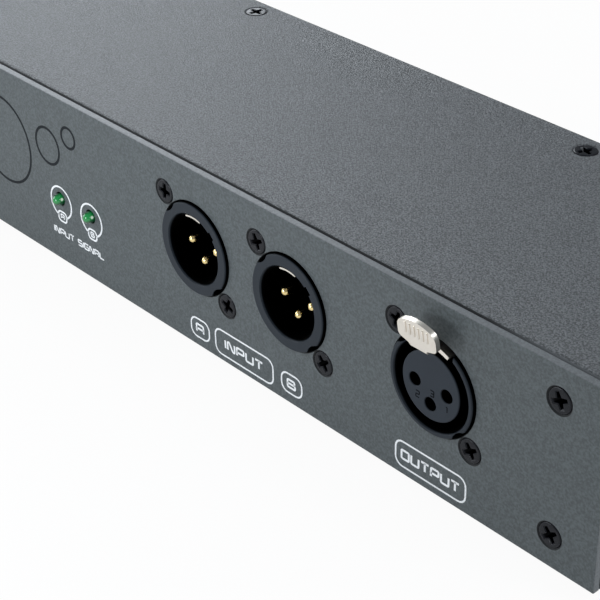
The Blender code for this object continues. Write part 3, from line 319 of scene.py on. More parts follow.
@dataclass(frozen=True)
class Finish:
    """A surface finish. Each kind knows how to make its own material.

    Its shadow names an axis and the two places on it between which the colour is darkened to near
    black: painted shade, as where light does not reach deep into a bore.
    """

    name: str
    colour: Colour
    roughness: float
    shadow: Optional[tuple[str, float, float]] = None

    def make(self) -> bpy.types.Material:
        """Makes the material, or returns the one made before.

        Returns:
            The material.
        """
        made = bpy.data.materials.get(self.name)
        if made is None:
            surface = Surface(self.name)
            self.dress(surface)
            made = surface.material
        return made

    def dress(self, surface: Surface) -> None:
        """Builds the finish's nodes."""
        raise NotImplementedError

    def shade(self, amount: float) -> Colour:
        """The finish's colour, lighter or darker by a factor."""
        return tuple(min(1.0, channel * amount) for channel in self.colour)

    def depth(self, surface: Surface) -> Union[Value, float]:
        """How far a place lies in the finish's painted shade, from 0 to 1.

        Args:
            surface: The tree that gets the nodes.

        Returns:
            A wrapped number, or plain 0 without a shadow.
        """
        if self.shadow is None:
            return 0.0
        letter, start, end = self.shadow
        return surface.axis(letter).between(start, end)

    def sunk(self, surface: Surface, colour: Any) -> Any:
        """The colour, darkened to near black by painted shade along the finish's shadow, if it has one.

        Args:
            surface: The tree that gets the nodes.
            colour: A colour or a colour socket.

        Returns:
            The same colour, or a socket with the darkened one.
        """
        if self.shadow is None:
            return colour
        return surface.blend(self.depth(surface), colour, self.shade(0.05))


@dataclass(frozen=True)
class PowderCoat(Finish):
    """Textured paint on sheet steel: fine pebbles, with darker pits between them."""

    pebble: float = 0.50 * MM
    relief: float = 0.070 * MM
    contrast: float = 0.36

    def dress(self, surface: Surface) -> None:
        """Builds the finish's nodes.

        Args:
            surface: The tree that gets the nodes.
        """
        pebbles = surface.noise(self.pebble, 3.0, 0.55)
        grit = surface.noise(self.pebble * 0.38, 2.0, 0.5)
        clouds = surface.noise(22 * MM, 2.0, 0.5)
        tone = pebbles.between(0.34, 0.68) * 0.7 + grit * 0.3
        dark, light = self.shade(1 - self.contrast), self.shade(1 + self.contrast)
        grained = surface.blend(tone, dark, light)
        surface.set(
            Base_Color=surface.blend(clouds * 0.14, grained, self.shade(1.25)),
            Roughness=self.roughness + (grit - 0.5) * 0.12,
            Specular_IOR_Level=0.42,
        )
        surface.bump(pebbles * 0.75 + grit * 0.25, self.relief)


@dataclass(frozen=True)
class SeamShadeCoat(Finish):
    """Painted shadow along a seam, which fades out towards its right end.

    Its last field names the two places along X between which the painted shadow fades, past which
    the paint has its lit colour, a painted light lighter than the cover.
    """

    lit: Colour = (0.0, 0.0, 0.0)
    shade_fade_x: tuple[float, float] = (0.0, 1.0)

    def dress(self, surface: Surface) -> None:
        """Builds the finish's nodes.

        Args:
            surface: The tree that gets the nodes.
        """
        # Painted shadow in the seam, fading along X to painted light.
        closed = surface.axis("X").between(*self.shade_fade_x)
        surface.set(
            Base_Color=surface.blend(closed, self.colour, self.lit),
            Roughness=self.roughness,
            Specular_IOR_Level=0.42,
        )


@dataclass(frozen=True)
class Moulded(Finish):
    """Moulded plastic or rubber with a fine spark-eroded grain."""

    grain: float = 0.14 * MM
    relief: float = 0.008 * MM
    gloss: float = 0.18

    def dress(self, surface: Surface) -> None:
        """Builds the finish's nodes.

        Args:
            surface: The tree that gets the nodes.
        """
        grain = surface.noise(self.grain, 2.0, 0.5)
        flow = surface.noise(5 * MM, 3.0, 0.55)
        # Painted shade where the finish has a shadow: the colour sinks to near black and turns metallic, so
        # it reflects little.
        surface.set(
            Base_Color=self.sunk(surface, surface.blend(flow, self.shade(0.86), self.shade(1.16))),
            Metallic=self.depth(surface),
            Roughness=self.roughness + (grain - 0.5) * 0.12 + (flow - 0.5) * 0.08,
            Specular_IOR_Level=self.gloss,
        )
        surface.bump(grain, self.relief)


@dataclass(frozen=True)
class Plated(Finish):
    """Plated metal: a smooth coat with a faint lay, and dull patches where it was handled."""

    lay: Point = (1.0, 1.0, 1.0)
    relief: float = 0.004 * MM

    def dress(self, surface: Surface) -> None:
        """Builds the finish's nodes.

        Args:
            surface: The tree that gets the nodes.
        """
        lines = surface.noise(0.25 * MM, 2.0, 0.6, self.lay)
        patches = surface.noise(2.2 * MM, 3.0, 0.55)
        # Painted shade where the finish has a shadow: the colour sinks to near black.
        surface.set(
            Base_Color=self.sunk(surface, surface.blend(patches, self.shade(0.93), self.shade(1.05))),
            Metallic=1.0,
            Roughness=self.roughness + (lines - 0.5) * 0.10 + (patches - 0.5) * 0.10,
        )
        surface.bump(lines, self.relief)


@dataclass(frozen=True)
class BlackOxide(Finish):
    """Blackened steel whose coat thins to grey where a driver has touched it."""

    worn: Colour = (0.030, 0.032, 0.038)

    def dress(self, surface: Surface) -> None:
        """Builds the finish's nodes.

        Args:
            surface: The tree that gets the nodes.
        """
        rub = surface.noise(0.5 * MM, 3.0, 0.6)
        wear = rub.between(0.60, 0.78)
        # Painted shade where the finish has a shadow: the recess sinks to near black and turns partly
        # metallic, so it reflects little.
        surface.set(
            Base_Color=self.sunk(surface, surface.blend(wear, self.colour, self.worn)),
            Metallic=wear * 0.4 + self.depth(surface) * 0.6,
            Roughness=self.roughness + (rub - 0.5) * 0.2,
            Specular_IOR_Level=0.20,
        )
        surface.bump(rub, 0.006 * MM)


@dataclass(frozen=True)
class TintedResin(Finish):
    """Clear tinted lamp resin whose colour and glow are painted light and shade: painted shade towards
    its rear and round a painted bright patch, and a painted glint.

    Its spot is the middle of the painted bright patch, in x and z. Its glint place is where a painted
    highlight stands for light that crosses the dome and comes to a point. Each fades out between two
    distances.
    """

    shade_colour: Colour = (0.001, 0.026, 0.009)
    spot: Point = (0.0, 0.0)
    painted_light_fade: tuple[float, float] = (0.35 * MM, 1.30 * MM)
    painted_glint: Point = (0.0, 0.0, 0.0)
    painted_glint_fade: tuple[float, float] = (0.12 * MM, 0.50 * MM)
    glint_colour: Colour = (0.85, 1.0, 0.87)

    def nearness(self, surface: Surface, letters: str, place: Point, fade: tuple[float, float]) -> Value:
        """How near a place is: 1 up to the first distance, 0 past the second.

        Args:
            surface: The tree that gets the nodes.
            letters: The axes along which the distance counts.
            place: Where the place is on each of them.
            fade: The two distances.

        Returns:
            The wrapped result.
        """
        offsets = [surface.axis(letter) - part for letter, part in zip(letters, place)]
        squares = [offset * offset for offset in offsets]
        return 1.0 - sum(squares[1:], squares[0]).between(fade[0] ** 2, fade[1] ** 2)

    def dress(self, surface: Surface) -> None:
        """Builds the finish's nodes.

        Args:
            surface: The tree that gets the nodes.
        """
        swirl = surface.noise(1.4 * MM, 2.0, 0.5)
        # Painted shade: the resin darkens towards the panel, where the hole shades it.
        core = surface.axis("Y").between(behind(0.6 * MM), behind(-0.8 * MM))
        # Painted light: a bright patch beside the middle, with painted shade round it.
        lit = core * self.nearness(surface, "XZ", self.spot, self.painted_light_fade) * 0.9 + swirl * 0.1
        # Painted glint on the far side of the dome.
        glint_mask = self.nearness(surface, "XYZ", self.painted_glint, self.painted_glint_fade)
        colour = surface.blend(glint_mask, surface.blend(lit, self.shade_colour, self.colour), self.glint_colour)
        # The base colour and the emission carry the painted light, shade and glint.
        surface.set(
            Base_Color=surface.blend(lit, self.shade_colour, self.shade(0.4)),
            Roughness=self.roughness + (swirl - 0.5) * 0.03,
            Emission_Color=colour,
            Emission_Strength=0.62,
            IOR=1.5,
            Coat_Weight=1.0,
            Coat_Roughness=0.05,
            Coat_IOR=1.68,
            Specular_IOR_Level=0.1,
        )


@dataclass(frozen=True)
class Ink(Finish):
    """Screen-printed ink: a thin film with small pinholes."""

    gloss: float = 0.50

    def dress(self, surface: Surface) -> None:
        """Builds the finish's nodes.

        Args:
            surface: The tree that gets the nodes.
        """
        film = surface.noise(0.16 * MM, 3.0, 0.6)
        surface.set(
            Base_Color=surface.blend(film.between(0.30, 0.55), self.shade(0.84), self.colour),
            Roughness=self.roughness + (film - 0.5) * 0.1,
            Specular_IOR_Level=self.gloss,
        )
        surface.bump(film, 0.004 * MM)


@dataclass(frozen=True)
class SolderResist(Finish):
    """A circuit board: green resist over straight copper tracks."""

    def dress(self, surface: Surface) -> None:
        """Builds the finish's nodes.

        Args:
            surface: The tree that gets the nodes.
        """
        across = surface.noise(1.6 * MM, 1.0, 0.4, (1.0, 0.06, 1.0))
        along = surface.noise(1.9 * MM, 1.0, 0.4, (0.05, 1.0, 1.0))
        lines = across.between(0.52, 0.56)
        tracks = lines.math("MAXIMUM", lines, along.between(0.55, 0.59))
        surface.set(
            Base_Color=surface.blend(tracks, self.colour, self.shade(1.9)),
            Roughness=self.roughness - tracks * 0.1,
        )
        surface.bump(tracks, 0.03 * MM)


# Painted shade: connector plastic sinks to near black between 0.72 mm and 0.35 mm in front of the panel's
# face, so bores, notches, gaps and the rings' sides look black.
PAINTED_RECESS_SHADE = ("Y", behind(-0.72 * MM), behind(-0.35 * MM))
PAINT = PowderCoat("textured_grey_paint", (0.085, 0.098, 0.101), 0.50)
# Painted shade: near-black paint on the walls of the panel's holes and countersinks, where shade falls.
HOLE_SHADE_PAINT = PowderCoat("thin_paint_in_holes", (0.012, 0.013, 0.014), 0.70)
# Painted light: the panel's outer edges are lighter than its face, where light from above falls on them.
RIM_LIGHT_PAINT = PowderCoat("thin_paint_on_rim", (0.138, 0.148, 0.154), 0.44, relief=0.03 * MM, contrast=0.25)
COVER_PAINT = PowderCoat(
    "textured_cover_paint", (0.098, 0.1035, 0.108), 0.42, pebble=0.42 * MM, relief=0.24 * MM, contrast=0.94
)
# Painted shadow in the seam behind the panel, fading towards the right end to painted light lighter than the
# cover.
SEAM_SHADE_PAINT = SeamShadeCoat(
    "thin_paint_in_seam", HOLE_SHADE_PAINT.colour, 0.60, lit=COVER_PAINT.shade(1.15), shade_fade_x=(86 * MM, 106 * MM)
)
# Painted shade: the panel and connector screws' recesses go near black from 0.12 mm to 0.5 mm behind the
# panel's face.
SCREW_BLACK = BlackOxide(
    "black_screw_steel", (0.007, 0.008, 0.011), 0.24, ("Y", behind(0.12 * MM), behind(0.5 * MM))
)
# Painted shade: the cover screws' recesses go near black from 0.12 mm to 0.5 mm below the cover's top.
TOP_SCREW_BLACK = BlackOxide(
    "black_cover_screw_steel", (0.007, 0.008, 0.011), 0.24, ("Z", TOP_Z - 0.12 * MM, TOP_Z - 0.5 * MM)
)
ANODISED = Plated("black_anodised_aluminium", (0.030, 0.030, 0.032), 0.42, lay=(1.0, 1.0, 8.0))
ZINC = Plated("zinc_plate", (0.62, 0.62, 0.60), 0.34)
NICKEL = Plated("satin_nickel", (0.83, 0.775, 0.695), 0.34, lay=(0.15, 1.0, 1.0), relief=0.006 * MM)
GOLD = Plated("gold_plate", (0.93, 0.72, 0.34), 0.20)
# Painted shade: the pins' gold sinks to near black from 2.3 mm to 4.5 mm behind the panel's face.
PIN_GOLD = Plated("pin_gold_plate", (0.93, 0.72, 0.34), 0.18, ("Y", behind(2.3 * MM), behind(4.5 * MM)))
HOUSING = Moulded("grained_connector_plastic", (0.017, 0.023, 0.031), 0.40, PAINTED_RECESS_SHADE)
INSERT = Moulded("grained_insert_plastic", (0.024, 0.031, 0.041), 0.46, PAINTED_RECESS_SHADE)
BLACK = Moulded("grained_black_plastic", (0.014, 0.014, 0.015), 0.45)
LAMP = TintedResin("green_lamp_resin", (0.005, 0.300, 0.062), 0.06)
BOARD = SolderResist("solder_resist", (0.018, 0.120, 0.045), 0.35)
SLEEVE = Moulded("capacitor_sleeve", (0.020, 0.030, 0.075), 0.30)
RUBBER = Moulded("foot_rubber", (0.022, 0.022, 0.022), 0.80, grain=0.3 * MM, relief=0.03 * MM)
WHITE_INK = Ink("white_ink", (1.0, 1.0, 1.0), 0.50)
DARK_INK = Ink("dark_ink", (0.006, 0.009, 0.012), 0.60, gloss=0.16)
DIGIT_INK = Ink("dark_digit_ink", (0.004, 0.005, 0.007), 0.60, gloss=0.05)

SLOT_FINISH = {
    Slot.PAINT: PAINT,
    Slot.BLACK_STEEL: SCREW_BLACK,
    Slot.ANODISED: ANODISED,
    Slot.ZINC: ZINC,
    Slot.NICKEL: NICKEL,
    Slot.GOLD: GOLD,
    Slot.HOUSING: HOUSING,
    Slot.INSERT: INSERT,
    Slot.BLACK_PLASTIC: BLACK,
    Slot.LAMP: LAMP,
    Slot.BOARD: BOARD,
    Slot.CAPACITOR: SLEEVE,
    Slot.RUBBER: RUBBER,
}


# Shapes


def arc(centre: Point, radius: float, start: float, end: float, steps: int) -> list[tuple[float, float]]:
    """Points along a circle's arc.

    Args:
        centre: The circle's middle.
        radius: Its radius.
        start: First angle in degrees.
        end: Last angle in degrees.
        steps: Stretches between the points.

    Returns:
        The points, both ends among them.
    """
    angles = [math.radians(start + (end - start) * step / steps) for step in range(steps + 1)]
    return [(centre[0] + radius * math.cos(a), centre[1] + radius * math.sin(a)) for a in angles]


def rounded(corners: Sequence[tuple[float, float, float]], steps: int = 8) -> list[Vector]:
    """A closed outline with rounded corners.

    Args:
        corners: Each corner's place and radius.
        steps: Stretches in each rounded corner.

    Returns:
        The outline's points.
    """
    points: list[Vector] = []
    for index, (x, y, radius) in enumerate(corners):
        corner = Vector((x, y))
        if radius == 0.0:
            points.append(corner)
            continue
        back = (Vector(corners[index - 1][:2]) - corner).normalized()
        ahead = (Vector(corners[(index + 1) % len(corners)][:2]) - corner).normalized()
        half = back.angle(ahead) / 2
        middle = corner + (back + ahead).normalized() * (radius / math.sin(half))
        first = corner + back * (radius / math.tan(half)) - middle
        last = corner + ahead * (radius / math.tan(half)) - middle
        points += [middle + radius * first.slerp(last, step / steps) for step in range(steps + 1)]
    return points


def facing_front(x: float, depth: float, z: float) -> Matrix:
    """Stands a drawing in x and y upright, facing the front."""
    return Matrix.Translation((x, behind(depth), z)) @ Matrix.Rotation(math.radians(90), 4, "X")


def facing_side(x: float, y: float, z: float) -> Matrix:
    """Stands a drawing in depth and height upright, facing sideways."""
    return Matrix(((0, 0, 1, x), (1, 0, 0, y), (0, 1, 0, z), (0, 0, 0, 1)))


class Shape:
    """Closed shapes gathered in one mesh."""

    def __init__(self) -> None:
        """Starts empty."""
        self.bm = bmesh.new()

    def block(self, low: Point, high: Point, edge: float = 0.0, steps: int = 3) -> "Shape":
        """A box between two corners, with its edges rounded.

        Args:
            low: Lowest corner.
            high: Highest corner.
            edge: Radius of the edges.
            steps: Stretches in each rounded edge.

        Returns:
            This shape.
        """
        low, high = Vector(low), Vector(high)
        place = Matrix.Translation((low + high) / 2) @ Matrix.Diagonal((*(high - low), 1.0))
        made = bmesh.ops.create_cube(self.bm, size=1.0, matrix=place)
        if edge:
            edges = list({joined for vert in made["verts"] for joined in vert.link_edges})
            bmesh.ops.bevel(self.bm, geom=edges, offset=edge, segments=steps, profile=0.5, affect="EDGES")
        return self

    def rod(self, start: Point, end: Point, radius: float, segments: int = 48) -> "Shape":
        """A cylinder between two places.

        Args:
            start: One end.
            end: The other end.
            radius: Its radius.
            segments: Facets round it.

        Returns:
            This shape.
        """
        start, end = Vector(start), Vector(end)
        turn = (end - start).to_track_quat("Z", "Y").to_matrix().to_4x4()
        bmesh.ops.create_cone(
            self.bm,
            cap_ends=True,
            segments=segments,
            radius1=radius,
            radius2=radius,
            depth=(end - start).length,
            matrix=Matrix.Translation((start + end) / 2) @ turn,
        )
        return self

    def turned(self, profile: Sequence[Point], place: Matrix, segments: int = 96) -> "Shape":
        """A turned shape about the drawing's own z axis.

        Args:
            profile: Radius and height, from the top at the axis to the bottom at the axis.
            place: Where the shape goes.
            segments: Facets round the circle.

        Returns:
            This shape.
        """
        rings: list[list[bmesh.types.BMVert]] = []
        for radius, height in profile:
            if radius == 0.0:
                rings.append([self.bm.verts.new(place @ Vector((0.0, 0.0, height)))])
                continue
            angles = [2 * math.pi * index / segments for index in range(segments)]
            points = [Vector((radius * math.cos(a), radius * math.sin(a), height)) for a in angles]
            rings.append([self.bm.verts.new(place @ point) for point in points])
        for upper, lower in zip(rings, rings[1:]):
            for index in range(segments):
                after = (index + 1) % segments
                corners = [upper[index % len(upper)], lower[index % len(lower)]]
                corners += [lower[after % len(lower)], upper[after % len(upper)]]
                self.bm.faces.new(list(dict.fromkeys(corners)))
        return self

    def prism(
        self,
        outline: Sequence[Point],
        thickness: float,
        place: Matrix,
        edge: float = 0.0,
        taper: float = 1.0,
    ) -> "Shape":
        """A flat outline given a thickness.

        Args:
            outline: Its points, in order.
            thickness: The whole thickness, half to either side of the drawing's plane.
            place: Where the shape goes.
            edge: Radius of the edges round its two faces.
            taper: Size of the lower face, as a share of the upper one.

        Returns:
            This shape.
        """
        own = bmesh.new()
        half = thickness / 2
        upper = [own.verts.new((x, y, half)) for x, y in outline]
        lower = [own.verts.new((x * taper, y * taper, -half)) for x, y in outline]
        own.faces.new(upper)
        own.faces.new(list(reversed(lower)))
        for index in range(len(outline)):
            after = (index + 1) % len(outline)
            own.faces.new((upper[index], lower[index], lower[after], upper[after]))
        if edge:
            rims = [joined for joined in own.edges if abs(joined.verts[0].co.z - joined.verts[1].co.z) < half]
            bmesh.ops.bevel(own, geom=rims, offset=edge, segments=3, profile=0.5, affect="EDGES")
        bmesh.ops.recalc_face_normals(own, faces=own.faces)
        bmesh.ops.transform(own, matrix=place, verts=own.verts)
        return self.add(own)

    def add(self, other: bmesh.types.BMesh) -> "Shape":
        """Takes in another bmesh, which is freed.

        Args:
            other: The bmesh.

        Returns:
            This shape.
        """
        mesh = bpy.data.meshes.new("part")
        other.to_mesh(mesh)
        other.free()
        self.bm.from_mesh(mesh)
        bpy.data.meshes.remove(mesh)
        return self

    def mesh(self, name: str) -> bpy.types.Mesh:
        """Hands over the mesh, with its faces pointing out.

        Args:
            name: The mesh's name.

        Returns:
            The mesh.
        """
        bmesh.ops.recalc_face_normals(self.bm, faces=self.bm.faces)
        made = bpy.data.meshes.new(name)
        self.bm.to_mesh(made)
        self.bm.free()
        return made


def evaluated_mesh(obj: bpy.types.Object) -> bpy.types.Mesh:
    """The object's mesh with its modifiers applied.

    Args:
        obj: The object.

    Returns:
        A new mesh.
    """
    bpy.context.view_layer.update()
    shown = obj.evaluated_get(bpy.context.evaluated_depsgraph_get())
    return bpy.data.meshes.new_from_object(shown)


class Job:
    """One solid on the bench: a first shape, then joins and cuts in the order they are asked for."""

    def __init__(self, name: str, shape: Shape) -> None:
        """Puts the first shape on the bench."""
        self.obj = placed(name, shape.mesh(name))
        self.helpers: list[bpy.types.Object] = []

    def work(self, operation: str, shapes: Sequence[Shape]) -> "Job":
        """Adds one Boolean for each shape.

        Args:
            operation: UNION or DIFFERENCE.
            shapes: The shapes.

        Returns:
            This job.
        """
        for shape in shapes:
            name = f"{self.obj.name}_helper_{len(self.helpers)}"
            helper = placed(name, shape.mesh(name))
            self.helpers.append(helper)
            step = self.obj.modifiers.new(name, "BOOLEAN")
            step.operation = operation
            step.solver = "EXACT"
            step.object = helper
        return self

    def join(self, *shapes: Shape) -> "Job":
        """Joins shapes to the solid."""
        return self.work("UNION", shapes)

    def cut(self, *shapes: Shape) -> "Job":
        """Cuts shapes out of the solid."""
        return self.work("DIFFERENCE", shapes)

    def done(self) -> bpy.types.Mesh:
        """Takes the finished mesh off the bench and clears the helpers away.

        Returns:
            The mesh.
        """
        mesh = evaluated_mesh(self.obj)
        for helper in (*self.helpers, self.obj):
            bpy.data.objects.remove(helper, do_unlink=True)
        return mesh


def publish(
    name: str,
    mesh: bpy.types.Mesh,
    finish: Finish,
    nodes: Sequence[str] = (),
    rider: Optional[Rider] = Rider.BOX,
) -> bpy.types.Object:
    """Finishes a piece: shading, material, body and the nodes it stands for.

    Args:
        name: The piece's name.
        mesh: Its mesh, in place.
        finish: Its surface.
        nodes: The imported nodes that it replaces.
        rider: The body that it moves with, or None for a piece that joins two bodies.

    Returns:
        The piece.
    """
    mesh.name = name
    mesh.materials.clear()
    mesh.materials.append(finish.make())
    mesh.shade_smooth()
    mesh.set_sharp_from_angle(angle=SHARP_ANGLE)
    obj = placed(name, mesh)
    weights = obj.modifiers.new("Even_shading", "WEIGHTED_NORMAL")
    weights.keep_sharp = True
    even = evaluated_mesh(obj)
    obj.modifiers.remove(weights)
    obj.data = even
    even.name = name
    bpy.data.meshes.remove(mesh)
    if rider:
        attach(obj, rider.value)
    if nodes:
        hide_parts(*nodes)
    LOG.info("%s: %d faces, stands for %d nodes", name, len(even.polygons), len(nodes))
    return obj


# Repeats and paths


class Recipe(Graph):
    """A Geometry Nodes tree with named inputs."""

    def __init__(self, name: str) -> None:
        """Makes the tree with its geometry in and out.

        Args:
            name: The tree's name.
        """
        super().__init__(bpy.data.node_groups.new(name, "GeometryNodeTree"))
        self.tree.interface.new_socket("Geometry", in_out="INPUT", socket_type="NodeSocketGeometry")
        self.tree.interface.new_socket("Geometry", in_out="OUTPUT", socket_type="NodeSocketGeometry")
        self.source = self.node("NodeGroupInput")
        self.sink = self.node("NodeGroupOutput")

    def input(self, name: str, kind: str) -> bpy.types.NodeSocket:
        """Adds a named input and returns its socket inside the tree."""
        self.tree.interface.new_socket(name, in_out="INPUT", socket_type=kind)
        return self.source.outputs[name]

    def finish(self, geometry: bpy.types.NodeSocket) -> None:
        """Ends the tree in Realize Instances and Set Material.

        Args:
            geometry: What the tree has made.
        """
        real = self.node("GeometryNodeRealizeInstances", None, {0: geometry}).outputs[0]
        coat = self.input("Material", "NodeSocketMaterial")
        dressed = self.node("GeometryNodeSetMaterial", None, {"Geometry": real, "Material": coat})
        self.tree.links.new(dressed.outputs[0], self.sink.inputs[0])

    def cook(self, mesh: bpy.types.Mesh, values: dict[str, Any], place: Matrix) -> bpy.types.Mesh:
        """Runs the tree on a mesh.

        Args:
            mesh: The points or lines it starts from.
            values: The inputs' values, by name.
            place: Where the result goes.

        Returns:
            A plain mesh.
        """
        obj = placed(self.tree.name, mesh)
        step = obj.modifiers.new(self.tree.name, "NODES")
        step.node_group = self.tree
        for item in self.tree.interface.items_tree:
            if item.in_out == "INPUT" and item.name in values:
                step[item.identifier] = values[item.name]
        made = evaluated_mesh(obj)
        bpy.data.objects.remove(obj, do_unlink=True)
        bpy.data.meshes.remove(mesh)
        made.transform(place)
        return made


def repeat_recipe() -> Recipe:
    """A tree that sets a template on each point, turned by a random amount about its own axis.

    Returns:
        The tree.
    """
    recipe = Recipe("set_on_points")
    template = recipe.input("Template", "NodeSocketObject")
    spread = recipe.input("Spread", "NodeSocketFloat")
    seed = recipe.input("Seed", "NodeSocketInt")
    shape = recipe.node("GeometryNodeObjectInfo", {"transform_space": "ORIGINAL"}, {"Object": template})
    angle = recipe.node("FunctionNodeRandomValue", {"data_type": "FLOAT"}, {"Min": 0.0, "Seed": seed})
    recipe.tree.links.new(spread, angle.inputs[3])
    turn = recipe.node("ShaderNodeCombineXYZ", None, {"Z": angle.outputs[1]})
    sockets = {
        "Points": recipe.source.outputs[0],
        "Instance": shape.outputs["Geometry"],
        "Rotation": turn.outputs[0],
    }
    copies = recipe.node("GeometryNodeInstanceOnPoints", None, sockets)
    recipe.finish(copies.outputs[0])
    return recipe


def line_recipe() -> Recipe:
    """A tree that lays a flat band of ink along drawn lines and rounds their corners.

    Returns:
        The tree.
    """
    recipe = Recipe("lay_ink_along_lines")
    corner = recipe.input("Corner", "NodeSocketFloat")
    width = recipe.input("Width", "NodeSocketFloat")
    film = recipe.input("Film", "NodeSocketFloat")
    line = recipe.node("GeometryNodeMeshToCurve", None, {"Mesh": recipe.source.outputs[0]})
    sockets = {"Curve": line.outputs[0], "Radius": corner, "Limit Radius": True, "Count": 5}
    soft = recipe.node("GeometryNodeFilletCurve", {"mode": "POLY"}, sockets)
    level = recipe.node("GeometryNodeSetCurveNormal", {"mode": "Z_UP"}, {"Curve": soft.outputs[0]})
    section = recipe.node("GeometryNodeCurvePrimitiveQuadrilateral", None, {"Width": width, "Height": film})
    sockets = {"Curve": level.outputs[0], "Profile Curve": section.outputs[0], "Fill Caps": True}
    band = recipe.node("GeometryNodeCurveToMesh", None, sockets)
    recipe.finish(band.outputs[0])
    return recipe


def points_mesh(points: Sequence[Point]) -> bpy.types.Mesh:
    """Loose points for a tree to start from.

    Args:
        points: Where they are.

    Returns:
        The mesh.
    """
    made = bpy.data.meshes.new("points")
    made.from_pydata([tuple(point) for point in points], [], [])
    return made


def lines_mesh(lines: Sequence[Line]) -> bpy.types.Mesh:
    """Drawn lines for a tree to start from.

    Args:
        lines: Each line's points and whether it closes.

    Returns:
        The mesh.
    """
    points: list[tuple[float, float, float]] = []
    edges: list[tuple[int, int]] = []
    for line, closed in lines:
        first = len(points)
        points += [(x, y, 0.0) for x, y in line]
        edges += [(index, index + 1) for index in range(first, len(points) - 1)]
        if closed:
            edges.append((len(points) - 1, first))
    made = bpy.data.meshes.new("lines")
    made.from_pydata(points, edges, [])
    return made


@dataclass(frozen=True)
class Pen:
    """How lines are drawn: their width, their corners' radius, the ink and its thickness."""

    width: float
    corner: float
    ink: Ink = WHITE_INK
    film: float = 0.05 * MM


@dataclass
class Tools:
    """The trees that several sub-assemblies share."""

    repeat: Recipe = field(default_factory=repeat_recipe)
    line: Recipe = field(default_factory=line_recipe)

    def repeated(
        self,
        mesh: bpy.types.Mesh,
        spots: Sequence[Point],
        finish: Finish,
        place: Matrix,
        spread: float = 0.0,
        seed: int = 1,
    ) -> bpy.types.Mesh:
        """Sets copies of a mesh on points.

        Args:
            mesh: What is repeated.
            spots: Where the copies go in the drawing.
            finish: Their finish.
            place: Where the drawing goes.
            spread: How far they are turned at random, in radians.
            seed: Which random turns they get.

        Returns:
            One mesh of all the copies.
        """
        template = bpy.data.objects.new("template", mesh)
        values = {"Template": template, "Spread": spread, "Seed": seed, "Material": finish.make()}
        made = self.repeat.cook(points_mesh(spots), values, place)
        bpy.data.objects.remove(template, do_unlink=True)
        return made

    def inked(self, lines: Sequence[Line], pen: Pen, place: Matrix) -> bpy.types.Mesh:
        """Draws lines with a pen on a plane."""
        values = {"Corner": pen.corner, "Width": pen.width, "Film": pen.film, "Material": pen.ink.make()}
        return self.line.cook(lines_mesh(lines), values, place)


# Enclosure


CONNECTORS = {name: centre_x(f"{name}_insert") for name in ("input_a", "input_b", "output")}
LAMP_LETTERS = {"lamp_a": "A", "lamp_b": "B"}
SIDES = {"left": -1, "right": 1}


